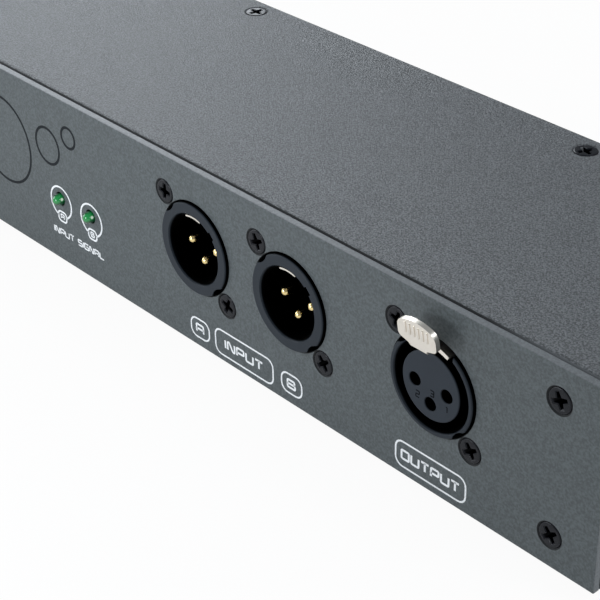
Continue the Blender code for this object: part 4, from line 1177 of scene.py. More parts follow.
@dataclass
class Screws:
    """Countersunk cross-recess screws of the panel, the connectors and the cover.

    The recess's tip is a share of its width, and its taper the share of its size that is left at its
    floor.
    """

    head_radius: float = 2.9 * MM
    shank_radius: float = 1.35 * MM
    rim_radius: float = 0.45 * MM
    recess_reach: float = 1.98 * MM
    recess_width: float = 1.22 * MM
    recess_depth: float = 1.5 * MM
    recess_easing: float = 0.09 * MM
    recess_tip: float = 0.34
    recess_taper: float = 0.35
    panel_length: float = 7.0 * MM
    connector_length: float = 9.5 * MM
    cover_length: float = 6.0 * MM
    sunk: float = 0.04 * MM
    connector_x: float = 10.5 * MM
    connector_z: float = 10.7 * MM

    def cross(self, swell: float) -> list[Vector]:
        """The outline of the driver's cross, whose arms narrow outwards, grown by swell.

        Args:
            swell: How far it is grown.

        Returns:
            The outline's points.
        """
        reach = self.recess_reach + swell
        middle, tip = self.recess_width / 2 + swell, self.recess_width * self.recess_tip + swell
        arm = ((reach, -tip), (reach, tip), (middle, middle))
        turns = [Matrix.Rotation(math.radians(90 * quarter), 2) for quarter in range(4)]
        return [spin @ Vector(point) for spin in turns for point in arm]

    def recess(self) -> list[Shape]:
        """The driver's cross, which narrows downwards, and the easing round its mouth.

        Returns:
            Both cutters.
        """
        depth, easing = self.recess_depth, self.recess_easing
        level = Matrix.Translation((0, 0, -self.sunk))
        place = level @ Matrix.Translation((0, 0, -depth / 2))
        cross = Shape().prism(self.cross(0.0), depth, place, taper=self.recess_taper)
        outer = self.cross(2 * easing)
        shrink = self.cross(0.0)[0].length / outer[0].length
        return [cross, Shape().prism(outer, 2 * easing, level, taper=shrink)]

    def screw(self, length: float) -> bpy.types.Mesh:
        """One screw along its own z axis, its head's top just below z = 0.

        Args:
            length: How far below z = 0 the tip is.

        Returns:
            The screw's mesh.
        """
        edge, sunk = self.rim_radius, self.sunk
        neck = self.head_radius - self.shank_radius
        profile = [(0.0, -sunk)]
        profile += arc((self.head_radius - edge, -sunk - edge), edge, 90, 0, 6)
        profile += [(self.shank_radius, -neck - edge), (self.shank_radius, -length), (0.0, -length)]
        return Job("screw", Shape().turned(profile, Matrix.Identity(4), 48)).cut(*self.recess()).done()

    def places(self, prefix: str) -> dict[str, Vector]:
        """Where the screws of a group are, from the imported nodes' boxes.

        Args:
            prefix: What the nodes' names start with.

        Returns:
            Each screw's middle, by node.
        """
        found = {}
        for name in frame["nodes"]:
            if "_screw_" in name and name.startswith(prefix):
                low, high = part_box(name)
                found[name] = (low + high) / 2
        return found

    def group(
        self, tools: Tools, name: str, prefixes: Sequence[str], finish: BlackOxide, length: float
    ) -> None:
        """Sets one group of screws.

        Args:
            tools: The shared trees.
            name: The piece's name.
            prefixes: What the nodes' names start with.
            finish: Their finish; the cover's own marks screws that stand upright in its top.
            length: From the head's top to the tip.
        """
        upright = finish is TOP_SCREW_BLACK
        places: dict[str, Vector] = {}
        for prefix in prefixes:
            places.update(self.places(prefix))
        spots = [(spot.x, spot.y if upright else spot.z, 0.0) for spot in places.values()]
        place = Matrix.Translation((0, 0, TOP_Z)) if upright else facing_front(0.0, 0.0, 0.0)
        mesh = tools.repeated(self.screw(length), spots, finish, place, spread=math.tau, seed=7)
        publish(name, mesh, finish, list(places))

    def build(self, tools: Tools) -> None:
        """Builds every visible screw.

        Args:
            tools: The shared trees.
        """
        self.group(tools, "panel_screws", ("panel_screw",), SCREW_BLACK, self.panel_length)
        self.group(tools, "connector_screws", tuple(CONNECTORS), SCREW_BLACK, self.connector_length)
        self.group(tools, "cover_screws", ("cover_screw",), TOP_SCREW_BLACK, self.cover_length)


@dataclass
class Enclosure:
    """Front panel, folded cover and feet.

    The flat_on field is the share of a face's normal from which it counts as flat on the panel, and
    seam_slope the one from which a face of the cover looks into the seam behind the panel.
    """

    edge: float = 0.22 * MM
    panel_thickness: float = 1.8 * MM
    sheet: float = 1.2 * MM
    bend: float = 1.55 * MM
    lip: float = 3.6 * MM
    window_inset: float = 0.4 * MM
    hole_radius: float = 11.7 * MM
    hole_rim: float = 0.12 * MM
    lamp_hole_radius: float = 1.8 * MM
    lamp_hole_rim: float = 0.08 * MM
    sink_radius: float = 3.2 * MM
    screw_hole_radius: float = 1.65 * MM
    foot_radius: float = 6.3 * MM
    foot_height: float = 3.2 * MM
    foot_rim: float = 0.9 * MM
    flat_on: float = 0.9
    seam_slope: float = 0.55

    def hole(self, radius: float, rim: float, depth: float) -> list[tuple[float, float]]:
        """The profile of a hole cutter whose mouth at height 0 is eased by a small rim.

        Args:
            radius: The hole's radius.
            rim: Width of the easing.
            depth: The metal's thickness.

        Returns:
            Radii and heights.
        """
        return [
            (0.0, PAST),
            (radius + rim + PAST, PAST),
            (radius, -rim),
            (radius, -depth - PAST),
            (0.0, -depth - PAST),
        ]

    def sink(self, depth: float) -> list[tuple[float, float]]:
        """The profile of a countersink cutter.

        Args:
            depth: The metal's thickness.

        Returns:
            Radii and heights.
        """
        cone = self.sink_radius - self.screw_hole_radius
        return [
            (0.0, PAST),
            (self.sink_radius + PAST, PAST),
            (self.screw_hole_radius, -cone),
            (self.screw_hole_radius, -depth - PAST),
            (0.0, -depth - PAST),
        ]

    def recoat(
        self, piece: bpy.types.Object, finish: Finish, chosen: Callable[[bpy.types.MeshPolygon], bool]
    ) -> None:
        """Gives the chosen faces of a piece another finish.

        Args:
            piece: The piece.
            finish: The finish.
            chosen: Says whether a face gets it.
        """
        piece.data.materials.append(finish.make())
        for face in piece.data.polygons:
            if chosen(face):
                face.material_index = len(piece.data.materials) - 1

    def build_panel(self, screws: Screws) -> None:
        """The flat front panel with its holes.

        Args:
            screws: Their sizes and places.
        """
        low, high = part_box("front_panel")
        holes, lamps, sinks = Shape(), Shape(), Shape()
        for x in CONNECTORS.values():
            profile = self.hole(self.hole_radius, self.hole_rim, self.panel_thickness)
            holes.turned(profile, facing_front(x, 0.0, AXIS_Z), 128)
        for node in LAMP_LETTERS:
            x, z = Lamps.axis(node)
            profile = self.hole(self.lamp_hole_radius, self.lamp_hole_rim, self.panel_thickness)
            lamps.turned(profile, facing_front(x, 0.0, z), 48)
        for prefix in ("panel_screw", *CONNECTORS):
            for spot in screws.places(prefix).values():
                sinks.turned(self.sink(self.panel_thickness), facing_front(spot.x, 0.0, spot.z), 48)
        job = Job("front_panel", Shape().block(low, high, self.edge)).cut(holes, lamps, sinks)
        panel = publish("fine_front_panel", job.done(), PAINT, ["front_panel"])
        inset = Vector((PAST, 0, PAST))
        inner_low, inner_high = low + inset, high - inset

        def on_wall(face: bpy.types.MeshPolygon, inside: bool) -> bool:
            """Whether a face turns away from the front, in a hole or else on the outer edges.

            Args:
                face: The face.
                inside: True asks for the holes, False for the outer edges.

            Returns:
                The answer.
            """
            spot = face.center
            in_hole = inner_low.x < spot.x < inner_high.x and inner_low.z < spot.z < inner_high.z
            return in_hole == inside and abs(face.normal.y) < self.flat_on

        # Painted shade on the walls of the holes and countersinks, painted light on the panel's outer edges.
        self.recoat(panel, HOLE_SHADE_PAINT, lambda face: on_wall(face, True))
        self.recoat(panel, RIM_LIGHT_PAINT, lambda face: on_wall(face, False))

    def folded(self, low: Point, high: Point, radius: float) -> Shape:
        """A block whose top edges at the front and the sides are rounded as bent sheet is.

        Args:
            low: Lowest corner.
            high: Highest corner.
            radius: Radius of the bends.

        Returns:
            The shape.
        """
        made = Shape().block(low, high)
        bm = made.bm
        chosen = []
        for joined in bm.edges:
            first, second = (vert.co for vert in joined.verts)
            top = min(first.z, second.z) > high[2] - FIT
            front = max(first.y, second.y) < low[1] + FIT
            side = abs(first.x - second.x) < FIT
            if top and (front or side):
                chosen.append(joined)
        bmesh.ops.bevel(bm, geom=chosen, offset=radius, segments=8, profile=0.5, affect="EDGES")
        return made

    def build_cover(self, screws: Screws) -> None:
        """The folded cover: top, two sides and a short lip behind the panel.

        Args:
            screws: Their sizes and places.
        """
        low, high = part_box("top_cover")
        far = 10 * MM
        inner_low = Vector((low.x + self.sheet, low.y + self.sheet, low.z - far))
        inner_high = Vector((high.x - self.sheet, high.y + far, high.z - self.sheet))
        side = self.sheet + self.window_inset
        window_low = Vector((low.x + side, low.y - far, low.z - far))
        window_high = Vector((high.x - side, low.y + far, high.z - self.lip))
        sinks = Shape()
        for spot in screws.places("cover_screw").values():
            sinks.turned(self.sink(self.sheet), Matrix.Translation((spot.x, spot.y, high.z)), 48)
        job = Job("top_cover", self.folded(low, high, self.bend))
        job.cut(
            self.folded(inner_low, inner_high, self.bend - self.sheet),
            Shape().block(window_low, window_high),
            sinks,
        )
        cover = publish("fine_top_cover", job.done(), COVER_PAINT, ["top_cover"])
        # Faces of the cover's front bend that look into the seam get the painted seam shadow.
        seam = low.y + self.bend
        self.recoat(
            cover, SEAM_SHADE_PAINT, lambda face: face.center.y < seam and face.normal.y < -self.seam_slope
        )

    def build_feet(self, tools: Tools) -> None:
        """Four stick-on rubber feet with a rounded rim.

        Args:
            tools: The shared trees.
        """
        names = [name for name in frame["nodes"] if name.startswith("rubber_foot")]
        radius, height, rim = self.foot_radius, self.foot_height, self.foot_rim
        profile = [(0.0, height), (radius, height), (radius, height * 0.5)]
        profile += reversed(arc((radius - 2 * rim, rim), rim, -90, 0, 6))
        profile.append((0.0, 0.0))
        foot = Shape().turned(profile, Matrix.Identity(4), 64).mesh("foot")
        spots = []
        for name in names:
            low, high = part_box(name)
            spots.append(((low.x + high.x) / 2, (low.y + high.y) / 2, 0.0))
        feet = tools.repeated(foot, spots, RUBBER, Matrix.Identity(4))
        publish("fine_rubber_feet", feet, RUBBER, names)

    def build(self, tools: Tools, screws: Screws) -> None:
        """Builds the enclosure's pieces.

        Args:
            tools: The shared trees.
            screws: Their sizes and places.
        """
        self.build_panel(screws)
        self.build_cover(screws)
        self.build_feet(tools)


# Connectors


@dataclass
class Connector:
    """What the pin and the socket connectors share: flange, block, ring and screw holes.

    The ring's easing is where the bore's rounded rim bulges, as a share of the rim's width.
    """

    name: str = "input_a"
    ring_radius: float = 11.4 * MM
    ring_proud: float = 0.85 * MM
    ring_edge: float = 0.32 * MM
    ring_easing: float = 0.35
    notch_radius: float = 4.45 * MM
    notch_floor: float = 1.8 * MM
    screw_hole_end: float = 9.8 * MM
    flange_half: float = 14.2 * MM
    flange_front: float = 2.1 * MM
    flange_back: float = 4.9 * MM
    flange_edge: float = 0.4 * MM
    block_half: float = 13.0 * MM
    block_back: float = 23.0 * MM
    mouth_radius: float = 8.83 * MM
    mouth_rim: float = 0.18 * MM
    bore_radius: float = 8.15 * MM
    chamfer: float = 1.0 * MM
    insert_edge: float = 0.3 * MM
    spread: float = 4.4 * MM
    pair_z: float = -0.24 * MM
    low_z: float = -4.27 * MM
    contact_bore_end: float = 12.5 * MM
    tail_depth: float = 24.7 * MM
    tail_half: float = 0.4 * MM

    @property
    def x(self) -> float:
        """The sideways place of the connector's axis."""
        return CONNECTORS[self.name]

    def spots(self) -> list[tuple[float, float]]:
        """Where the three contacts are: two side by side and one below.

        Returns:
            Their places in x and z.
        """
        x = self.x
        return [
            (x - self.spread, AXIS_Z + self.pair_z),
            (x + self.spread, AXIS_Z + self.pair_z),
            (x, AXIS_Z + self.low_z),
        ]

    def ring_profile(self) -> list[tuple[float, float]]:
        """The ring's outline with its rounded outer rim; height counts forwards.

        Returns:
            Radii and heights.
        """
        radius, proud, edge = self.ring_radius, self.ring_proud, self.ring_edge
        rim = arc((radius - edge, proud - edge), edge, 90, 0, 5)
        back = -self.flange_front - BITE
        return [(0.0, proud), *rim, (radius, back), (0.0, back)]

    def bore_profile(self) -> list[tuple[float, float]]:
        """The bore's outline with its eased rim and its chamfer.

        Returns:
            Radii and heights.
        """
        mouth, rim, front = self.mouth_radius, self.mouth_rim, self.ring_proud
        easing, end = rim * self.ring_easing, -self.block_back - PAST
        return [
            (0.0, front + PAST),
            (mouth + rim + PAST, front + PAST),
            (mouth + easing, front - easing),
            (mouth, front - rim),
            (self.bore_radius, front - self.chamfer),
            (self.bore_radius, end),
            (0.0, end),
        ]

    def shell(self, screws: Screws) -> Job:
        """Starts the housing: everything but its own openings.

        Args:
            screws: Their sizes and places.

        Returns:
            The housing, still on the bench.
        """
        x, flange, block = self.x, self.flange_half, self.block_half
        axis = facing_front(x, 0.0, AXIS_Z)
        job = Job(
            f"{self.name}_housing",
            Shape().block(
                (x - flange, behind(self.flange_front), AXIS_Z - flange),
                (x + flange, behind(self.flange_back), AXIS_Z + flange),
                self.flange_edge,
            ),
        )
        body = Shape().block(
            (x - block, behind(self.flange_back - BITE), SEAT_Z),
            (x + block, behind(self.block_back), AXIS_Z + block),
        )
        job.join(body, Shape().turned(self.ring_profile(), axis, 128))
        job.cut(Shape().turned(self.bore_profile(), axis, 128))
        notches, holes = Shape(), Shape()
        for sign in SIDES.values():
            spot_x, spot_z = x + sign * screws.connector_x, AXIS_Z - sign * screws.connector_z
            near = (spot_x, behind(-self.ring_proud - PAST), spot_z)
            middle = (spot_x, behind(self.notch_floor), spot_z)
            end = (spot_x, behind(self.screw_hole_end), spot_z)
            notches.rod(near, middle, self.notch_radius, 96)
            holes.rod(middle, end, screws.shank_radius + FIT, 24)
        return job.cut(notches, holes)

    def contact(self, number: int, profile: Sequence[Point], bore: float = 0.0) -> bpy.types.Mesh:
        """One contact with its flat tail down through the board.

        Args:
            number: Which of the three spots.
            profile: The turned part's outline.
            bore: Radius of the hole in its front end, if it has one.

        Returns:
            The contact's mesh.
        """
        x, z = self.spots()[number]
        half = self.tail_half
        job = Job("contact", Shape().turned(profile, facing_front(x, 0.0, z), 32))
        job.join(
            Shape().block(
                (x - half, behind(self.tail_depth - half), BOARD_LOW_Z),
                (x + half, behind(self.tail_depth + half), z + half),
            )
        )
        if bore:
            job.cut(Shape().rod((x, behind(0.0), z), (x, behind(self.contact_bore_end), z), bore, 32))
        return job.done()


@dataclass
class PinConnector(Connector):
    """A pin connector: pins, insert and ground contact in a keyed bore.

    The room for the ground contact is cut from a share of the bore's radius outwards.
    """

    floor: float = 13.2 * MM
    insert_back: float = 22.0 * MM
    pin_radius: float = 1.2 * MM
    pin_tip: float = 1.8 * MM
    pin_room: float = 0.15 * MM
    key_angle: float = 47.5
    key_width: float = 2.1 * MM
    key_reach: float = 9.5 * MM
    ground_radius: float = 8.0 * MM
    ground_thickness: float = 0.4 * MM
    ground_length: float = 12.0 * MM
    ground_proud: float = 0.45 * MM
    ground_half_angle: float = 18.0
    ground_edge: float = 0.1 * MM
    ground_room: float = 0.8

    def band(self, inner: float, outer: float, half_angle: float) -> list[tuple[float, float]]:
        """The outline of a strip that follows the bore above its middle."""
        far = arc((0, 0), outer, 90 - half_angle, 90 + half_angle, 12)
        return far + list(reversed(arc((0, 0), inner, 90 - half_angle, 90 + half_angle, 12)))

    def build_housing(self, screws: Screws) -> None:
        """The housing with its keyway and the room for the ground contact.

        Args:
            screws: Their sizes and places.
        """
        key = Shape().block(
            (-self.key_width / 2, behind(-self.ring_proud - PAST), self.bore_radius / 2),
            (self.key_width / 2, behind(self.floor), self.key_reach),
        )
        turn = Matrix.Rotation(math.radians(self.key_angle), 4, "Y")
        bmesh.ops.transform(key.bm, matrix=turn, verts=key.bm.verts)
        bmesh.ops.transform(key.bm, matrix=Matrix.Translation((self.x, 0.0, AXIS_Z)), verts=key.bm.verts)
        outer = self.ground_radius + self.ground_thickness + FIT
        length = self.ground_length + FIT + self.ring_proud + PAST
        place = facing_front(self.x, self.ground_length + FIT - length / 2, AXIS_Z)
        half_angle = self.ground_half_angle + math.degrees(FIT / outer)
        strip = self.band(self.bore_radius * self.ground_room, outer, half_angle)
        room = Shape().prism(strip, length, place)
        mesh = self.shell(screws).cut(key, room).done()
        publish(f"fine_{self.name}_housing", mesh, HOUSING, [f"{self.name}_housing"])

    def build_inside(self) -> None:
        """The insert, the three pins and the ground contact."""
        name, axis = self.name, facing_front(self.x, 0.0, AXIS_Z)
        outer = self.ground_radius + self.ground_thickness
        outline = self.band(self.ground_radius, outer, self.ground_half_angle)
        length = self.ground_length + self.ground_proud
        place = facing_front(self.x, self.ground_length - length / 2, AXIS_Z)
        strip = Shape().prism(outline, length, place, self.ground_edge).mesh("strip")
        publish(f"fine_{name}_ground_contact", strip, NICKEL, [f"{name}_ground_contact"])

        radius, edge = self.bore_radius - FIT, self.insert_edge
        disc = [(0.0, -self.floor), *arc((radius - edge, -self.floor - edge), edge, 90, 0, 4)]
        disc += [(radius, -self.insert_back), (0.0, -self.insert_back)]
        holes = Shape()
        for x, z in self.spots():
            near, far = behind(self.floor - PAST), behind(self.insert_back + PAST)
            holes.rod((x, near, z), (x, far, z), self.pin_radius + self.pin_room, 32)
        insert = Job("insert", Shape().turned(disc, axis)).cut(holes).done()
        publish(f"fine_{name}_insert", insert, BLACK, [f"{name}_insert"])

        tip = arc((0.0, -self.pin_tip - self.pin_radius), self.pin_radius, 90, 0, 8)
        profile = [(0.0, -self.pin_tip), *tip[1:]]
        profile += [(self.pin_radius, -self.tail_depth), (0.0, -self.tail_depth)]
        for number in range(3):
            mesh = self.contact(number, profile)
            node = f"{name}_pin_{number + 1}"
            publish(f"fine_{node}", mesh, PIN_GOLD, [node])

    def build(self, screws: Screws) -> None:
        """Builds the connector's pieces.

        Args:
            screws: Their sizes and places.
        """
        self.build_housing(screws)
        self.build_inside()


@dataclass
class SocketConnector(Connector):
    """The socket connector with its latch lever."""

    name: str = "output"
    mouth_radius: float = 10.4 * MM
    bore_radius: float = 9.75 * MM
    chamfer: float = 1.2 * MM
    insert_radius: float = 7.95 * MM
    insert_proud: float = 0.7 * MM
    insert_floor: float = 13.0 * MM
    insert_end: float = 20.0 * MM
    insert_edge: float = 0.35 * MM
    socket_radius: float = 1.55 * MM
    socket_rim: float = 0.16 * MM
    sleeve_radius: float = 1.7 * MM
    sleeve_bore: float = 1.25 * MM
    sleeve_front: float = 2.6 * MM
    slot_half: float = 5.9 * MM
    slot_roof: float = 12.7 * MM
    slot_depth: float = 17.5 * MM
    spring_depth: float = 7.5 * MM
    spring_wire: float = 0.2 * MM
    spring_turns: int = 5
    spring_steps: int = 20
    pocket_top: float = 16.4 * MM
    pocket_radius: float = 1.8 * MM
    tower_half: float = 3.0 * MM
    tower_roof: float = 1.2 * MM
    lever_inner: float = 9.6 * MM
    lever_thickness: float = 0.9 * MM
    lever_half_angle: float = 27.5
    lever_length: float = 10.5 * MM
    lever_edge: float = 0.12 * MM
    arm_half: float = 3.0 * MM
    tooth_half: float = 1.6 * MM
    tooth_front: float = 5.0 * MM
    tooth_back: float = 6.2 * MM
    tooth_low: float = 8.8 * MM
    pivot_depth: float = 15.0 * MM
    pivot_z: float = 11.1 * MM
    barrel_radius: float = 1.3 * MM
    barrel_half: float = 5.2 * MM
    latch_pin_radius: float = 0.6 * MM
    latch_pin_half: float = 8.0 * MM
    tab_foot: float = 10.45 * MM
    tab_stand: float = 3.9 * MM
    tab_thickness: float = 1.1 * MM
    tab_tilt: float = 9.0
    tab_waist: float = 2.4 * MM
    tab_waist_z: float = 0.85 * MM
    tab_waist_round: float = 0.3 * MM
    tab_shoulder_z: float = 1.75 * MM
    tab_shoulder_round: float = 1.2 * MM
    tab_half: float = 5.2 * MM
    tab_corner_z: float = 16.3 * MM
    tab_top_z: float = 17.9 * MM
    tab_corner: float = 2.4 * MM
    tab_arch: float = 9.0 * MM
    tab_edge: float = 0.40 * MM
    rib_count: int = 6
    rib_pitch: float = 1.18 * MM
    rib_lift: float = 4.5 * MM
    rib_height: float = 2.6 * MM
    rib_half_width: float = 0.22 * MM
    rib_half_depth: float = 0.2 * MM
    rib_edge: float = 0.1 * MM

    def build_housing(self, screws: Screws) -> None:
        """The housing with the latch's slot, spring pocket and pin hole.

        Args:
            screws: Their sizes and places.
        """
        x, y = self.x, behind(self.spring_depth)
        tower = Shape().block(
            (x - self.tower_half, y - self.tower_half, AXIS_Z + self.block_half - BITE),
            (x + self.tower_half, y + self.tower_half, AXIS_Z + self.pocket_top + self.tower_roof),
        )
        slot = Shape().block(
            (x - self.slot_half, behind(-self.ring_proud - PAST), AXIS_Z + self.insert_radius / 2),
            (x + self.slot_half, behind(self.slot_depth), AXIS_Z + self.slot_roof),
        )
        low, high = (x, y, AXIS_Z + self.slot_roof - PAST), (x, y, AXIS_Z + self.pocket_top)
        pocket = Shape().rod(low, high, self.pocket_radius, 32)
        pivot = self.pivot()
        reach = Vector((self.latch_pin_half + FIT, 0, 0))
        pin_hole = Shape().rod(pivot - reach, pivot + reach, self.latch_pin_radius + FIT, 24)
        mesh = self.shell(screws).join(tower).cut(slot, pocket, pin_hole).done()
        publish("fine_output_housing", mesh, HOUSING, ["output_housing"])

    def pivot(self) -> Vector:
        """The middle of the lever's pivot."""
        return Vector((self.x, behind(self.pivot_depth), AXIS_Z + self.pivot_z))

    def build_insert(self) -> None:
        """The round insert with three eased socket mouths."""
        axis, edge = facing_front(self.x, 0.0, AXIS_Z), self.insert_edge
        base = self.bore_radius - FIT
        disc = [(0.0, self.insert_proud)]
        disc += arc((self.insert_radius - edge, self.insert_proud - edge), edge, 90, 0, 5)
        disc += [(self.insert_radius, -self.insert_floor), (base, -self.insert_floor)]
        disc += [(base, -self.insert_end), (0.0, -self.insert_end)]
        rim, radius = self.socket_rim, self.socket_radius
        front = self.insert_proud
        mouth = [
            (0.0, front + PAST),
            (radius + rim + PAST, front + PAST),
            (radius, front - rim),
            (radius, -self.sleeve_front + FIT),
            (self.sleeve_radius + FIT, -self.sleeve_front + FIT),
            (self.sleeve_radius + FIT, -self.insert_end - PAST),
            (0.0, -self.insert_end - PAST),
        ]
        mouths = Shape()
        for x, z in self.spots():
            mouths.turned(mouth, facing_front(x, 0.0, z), 48)
        mesh = Job("insert", Shape().turned(disc, axis, 128)).cut(mouths).done()
        publish("fine_output_insert", mesh, INSERT, ["output_insert"])

        profile = [(0.0, -self.sleeve_front), (self.sleeve_radius, -self.sleeve_front)]
        profile += [(self.sleeve_radius, -self.tail_depth), (0.0, -self.tail_depth)]
        for spot, number in ((0, 2), (1, 1), (2, 3)):
            node = f"output_contact_{number}"
            mesh = self.contact(spot, profile, self.sleeve_bore)
            publish(f"fine_{node}", mesh, PIN_GOLD, [node])

    def tab_outline(self) -> list[Vector]:
        """The push tab above its foot: waist, shoulders and an arched top.

        Returns:
            The outline's points.
        """
        right = [
            (self.tab_waist, 0.0, 0.0),
            (self.tab_waist, self.tab_waist_z, self.tab_waist_round),
            (self.tab_half, self.tab_shoulder_z, self.tab_shoulder_round),
            (self.tab_half, self.tab_corner_z - self.tab_foot, self.tab_corner),
        ]
        left = [(-x, z, radius) for x, z, radius in reversed(right)]
        return rounded([*right, (0.0, self.tab_top_z - self.tab_foot, self.tab_arch), *left], 10)

    def build_lever(self, tools: Tools) -> None:
        """The sprung latch lever: band, arm, barrel, tooth, neck and the ribbed push tab.

        Args:
            tools: The shared trees.
        """
        x, inset = self.x, self.lever_thickness / 6
        outer = self.lever_inner + self.lever_thickness
        low, high = AXIS_Z + self.lever_inner + inset, AXIS_Z + outer - inset
        band_back = self.lever_length - self.ring_proud
        outline = arc((0, 0), outer, 90 - self.lever_half_angle, 90 + self.lever_half_angle, 24)
        inner = arc((0, 0), self.lever_inner, 90 - self.lever_half_angle, 90 + self.lever_half_angle, 24)
        place = facing_front(x, band_back - self.lever_length / 2, AXIS_Z)
        outline += reversed(inner)
        band = Shape().prism(outline, self.lever_length, place, self.lever_edge)
        pivot = self.pivot()
        arm = Shape().block(
            (x - self.arm_half, behind(band_back - BITE), low), (x + self.arm_half, pivot.y, high)
        )
        side = Vector((self.barrel_half, 0, 0))
        tooth = Shape().block(
            (x - self.tooth_half, behind(self.tooth_front), AXIS_Z + self.tooth_low),
            (x + self.tooth_half, behind(self.tooth_back), (low + high) / 2),
        )
        foot_z, root_y = AXIS_Z + self.tab_foot, behind(BITE - self.ring_proud)
        neck_side = (
            (root_y, low),
            (behind(-self.tab_stand), foot_z + inset),
            (behind(-self.tab_stand), foot_z + self.lever_thickness),
            (root_y, high),
        )
        neck_width = 2 * (self.tab_waist - inset)
        neck = Shape().prism(neck_side, neck_width, facing_side(x, 0.0, 0.0), self.lever_edge)
        tilt = Matrix.Rotation(math.radians(90 + self.tab_tilt), 4, "X")
        stand = Matrix.Translation((x, behind(-self.tab_stand), foot_z)) @ tilt
        tab = Shape().prism(self.tab_outline(), self.tab_thickness, stand, self.tab_edge)
        job = Job("latch_lever", band)
        job.join(arm, Shape().rod(pivot - side, pivot + side, self.barrel_radius, 32), tooth, neck, tab)
        past = Vector((self.slot_half, 0, 0))
        job.cut(Shape().rod(pivot - past, pivot + past, self.latch_pin_radius + FIT, 24))
        publish("fine_latch_lever", job.done(), NICKEL, ["latch_lever"], Rider.LATCH)
        self.build_ribs(tools, stand)

    def build_spring(self) -> None:
        """The coil in the pocket, sized to the imported spring."""
        low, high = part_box("latch_spring")
        radius = (high.x - low.x) / 2 - self.spring_wire
        foot, head = low.z + self.spring_wire, high.z - self.spring_wire
        wire = bpy.data.curves.new("spring_wire", "CURVE")
        wire.dimensions, wire.bevel_depth, wire.bevel_resolution = "3D", self.spring_wire, 3
        wire.use_fill_caps = True
        spline = wire.splines.new("POLY")
        spline.points.add(self.spring_turns * self.spring_steps)
        for index, knot in enumerate(spline.points):
            angle = math.tau * index / self.spring_steps
            height = foot + (head - foot) * index / (len(spline.points) - 1)
            across, along = radius * math.cos(angle), radius * math.sin(angle)
            knot.co = (self.x + across, behind(self.spring_depth) + along, height, 1.0)
        helper = placed("spring_wire", wire)
        mesh = evaluated_mesh(helper)
        bpy.data.objects.remove(helper)
        spring = publish("fine_latch_spring", mesh, ZINC, ["latch_spring"], None)
        middle = Vector((self.x, behind(self.spring_depth), 0.0))
        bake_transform(spring)

    def build_ribs(self, tools: Tools, stand: Matrix) -> None:
        """The shallow upright grip ribs on the tab's face.

        Args:
            tools: The shared trees.
            stand: Where the tab's drawing stands.
        """
        half = Vector((self.rib_half_width, self.rib_height / 2, self.rib_half_depth))
        rib = Shape().block(-half, half, self.rib_edge, 2).mesh("rib")
        first = -(self.rib_count - 1) / 2 * self.rib_pitch
        spots = [
            (first + index * self.rib_pitch, self.rib_lift, self.tab_thickness / 2)
            for index in range(self.rib_count)
        ]
        mesh = tools.repeated(rib, spots, NICKEL, stand)
        publish("latch_grip_ribs", mesh, NICKEL, (), Rider.LATCH)

    def build(self, tools: Tools, screws: Screws) -> None:
        """Builds the connector's pieces.

        Args:
            tools: The shared trees.
            screws: Their sizes and places.
        """
        self.build_housing(screws)
        self.build_insert()
        self.build_lever(tools)
        self.build_spring()


@dataclass
class Lamps:
    """Two domed green lamps with their bent leads.

    The two offsets below say where a lamp's resin gets painted light and a painted glint. They count
    from its axis, and backwards from the middle of its dome.
    """

    radius: float = 1.5 * MM
    proud: float = 2.2 * MM
    rim_radius: float = 1.9 * MM
    rim_front: float = 2.1 * MM
    rim_back: float = 3.1 * MM
    lead_spread: float = 1.3 * MM
    lead_width: float = 0.5 * MM
    # Offsets of the painted bright patch and the painted glint on each lamp's resin.
    painted_light_offset: tuple[float, float] = (0.65 * MM, 0.55 * MM)
    painted_glint: tuple[float, float, float] = (1.40 * MM, 0.20 * MM, 0.5 * MM)

    @classmethod
    def axis(cls, node: str) -> tuple[float, float]:
        """Where a lamp's axis is, in x and z."""
        return centre_x(node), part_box(node)[1].z - cls.rim_radius

    def profile(self) -> list[tuple[float, float]]:
        """The lamp's outline: dome, barrel and rim.

        Returns:
            Radii and heights.
        """
        dome = arc((0.0, self.proud - self.radius), self.radius, 90, 0, 12)
        rim = [(self.rim_radius, -self.rim_front), (self.rim_radius, -self.rim_back)]
        return [(0.0, self.proud), *dome[1:], (self.radius, -self.rim_front), *rim, (0.0, -self.rim_back)]

    def leads(self, node: str) -> Shape:
        """The lamp's two leads, which run backwards and bend down to the board.

        Args:
            node: The lamp's node.

        Returns:
            Both leads.
        """
        low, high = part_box(node)
        x, z = self.axis(node)
        half = self.lead_width / 2
        start, down = behind(self.rim_back - BITE), high.y - half
        side = (
            (start, z - half),
            (down - half, z - half),
            (down - half, low.z),
            (down + half, low.z),
            (down + half, z + half),
            (start, z + half),
        )
        made = Shape()
        for sign in SIDES.values():
            made.prism(side, self.lead_width, facing_side(x + sign * self.lead_spread, 0.0, 0.0))
        return made

    def build(self) -> None:
        """Builds both lamps, whose resin has painted light beside its middle and a painted glint."""
        for node in LAMP_LETTERS:
            x, z = self.axis(node)
            job = Job(node, Shape().turned(self.profile(), facing_front(x, 0.0, z), 64))
            depth = self.radius - self.proud + self.painted_glint[1]
            resin = replace(
                LAMP,
                name=f"green_resin_{node}",
                spot=(x + self.painted_light_offset[0], z + self.painted_light_offset[1]),
                painted_glint=(x + self.painted_glint[0], behind(depth), z + self.painted_glint[2]),
            )
            publish(f"fine_{node}", job.join(self.leads(node)).done(), resin, [node])


# Print


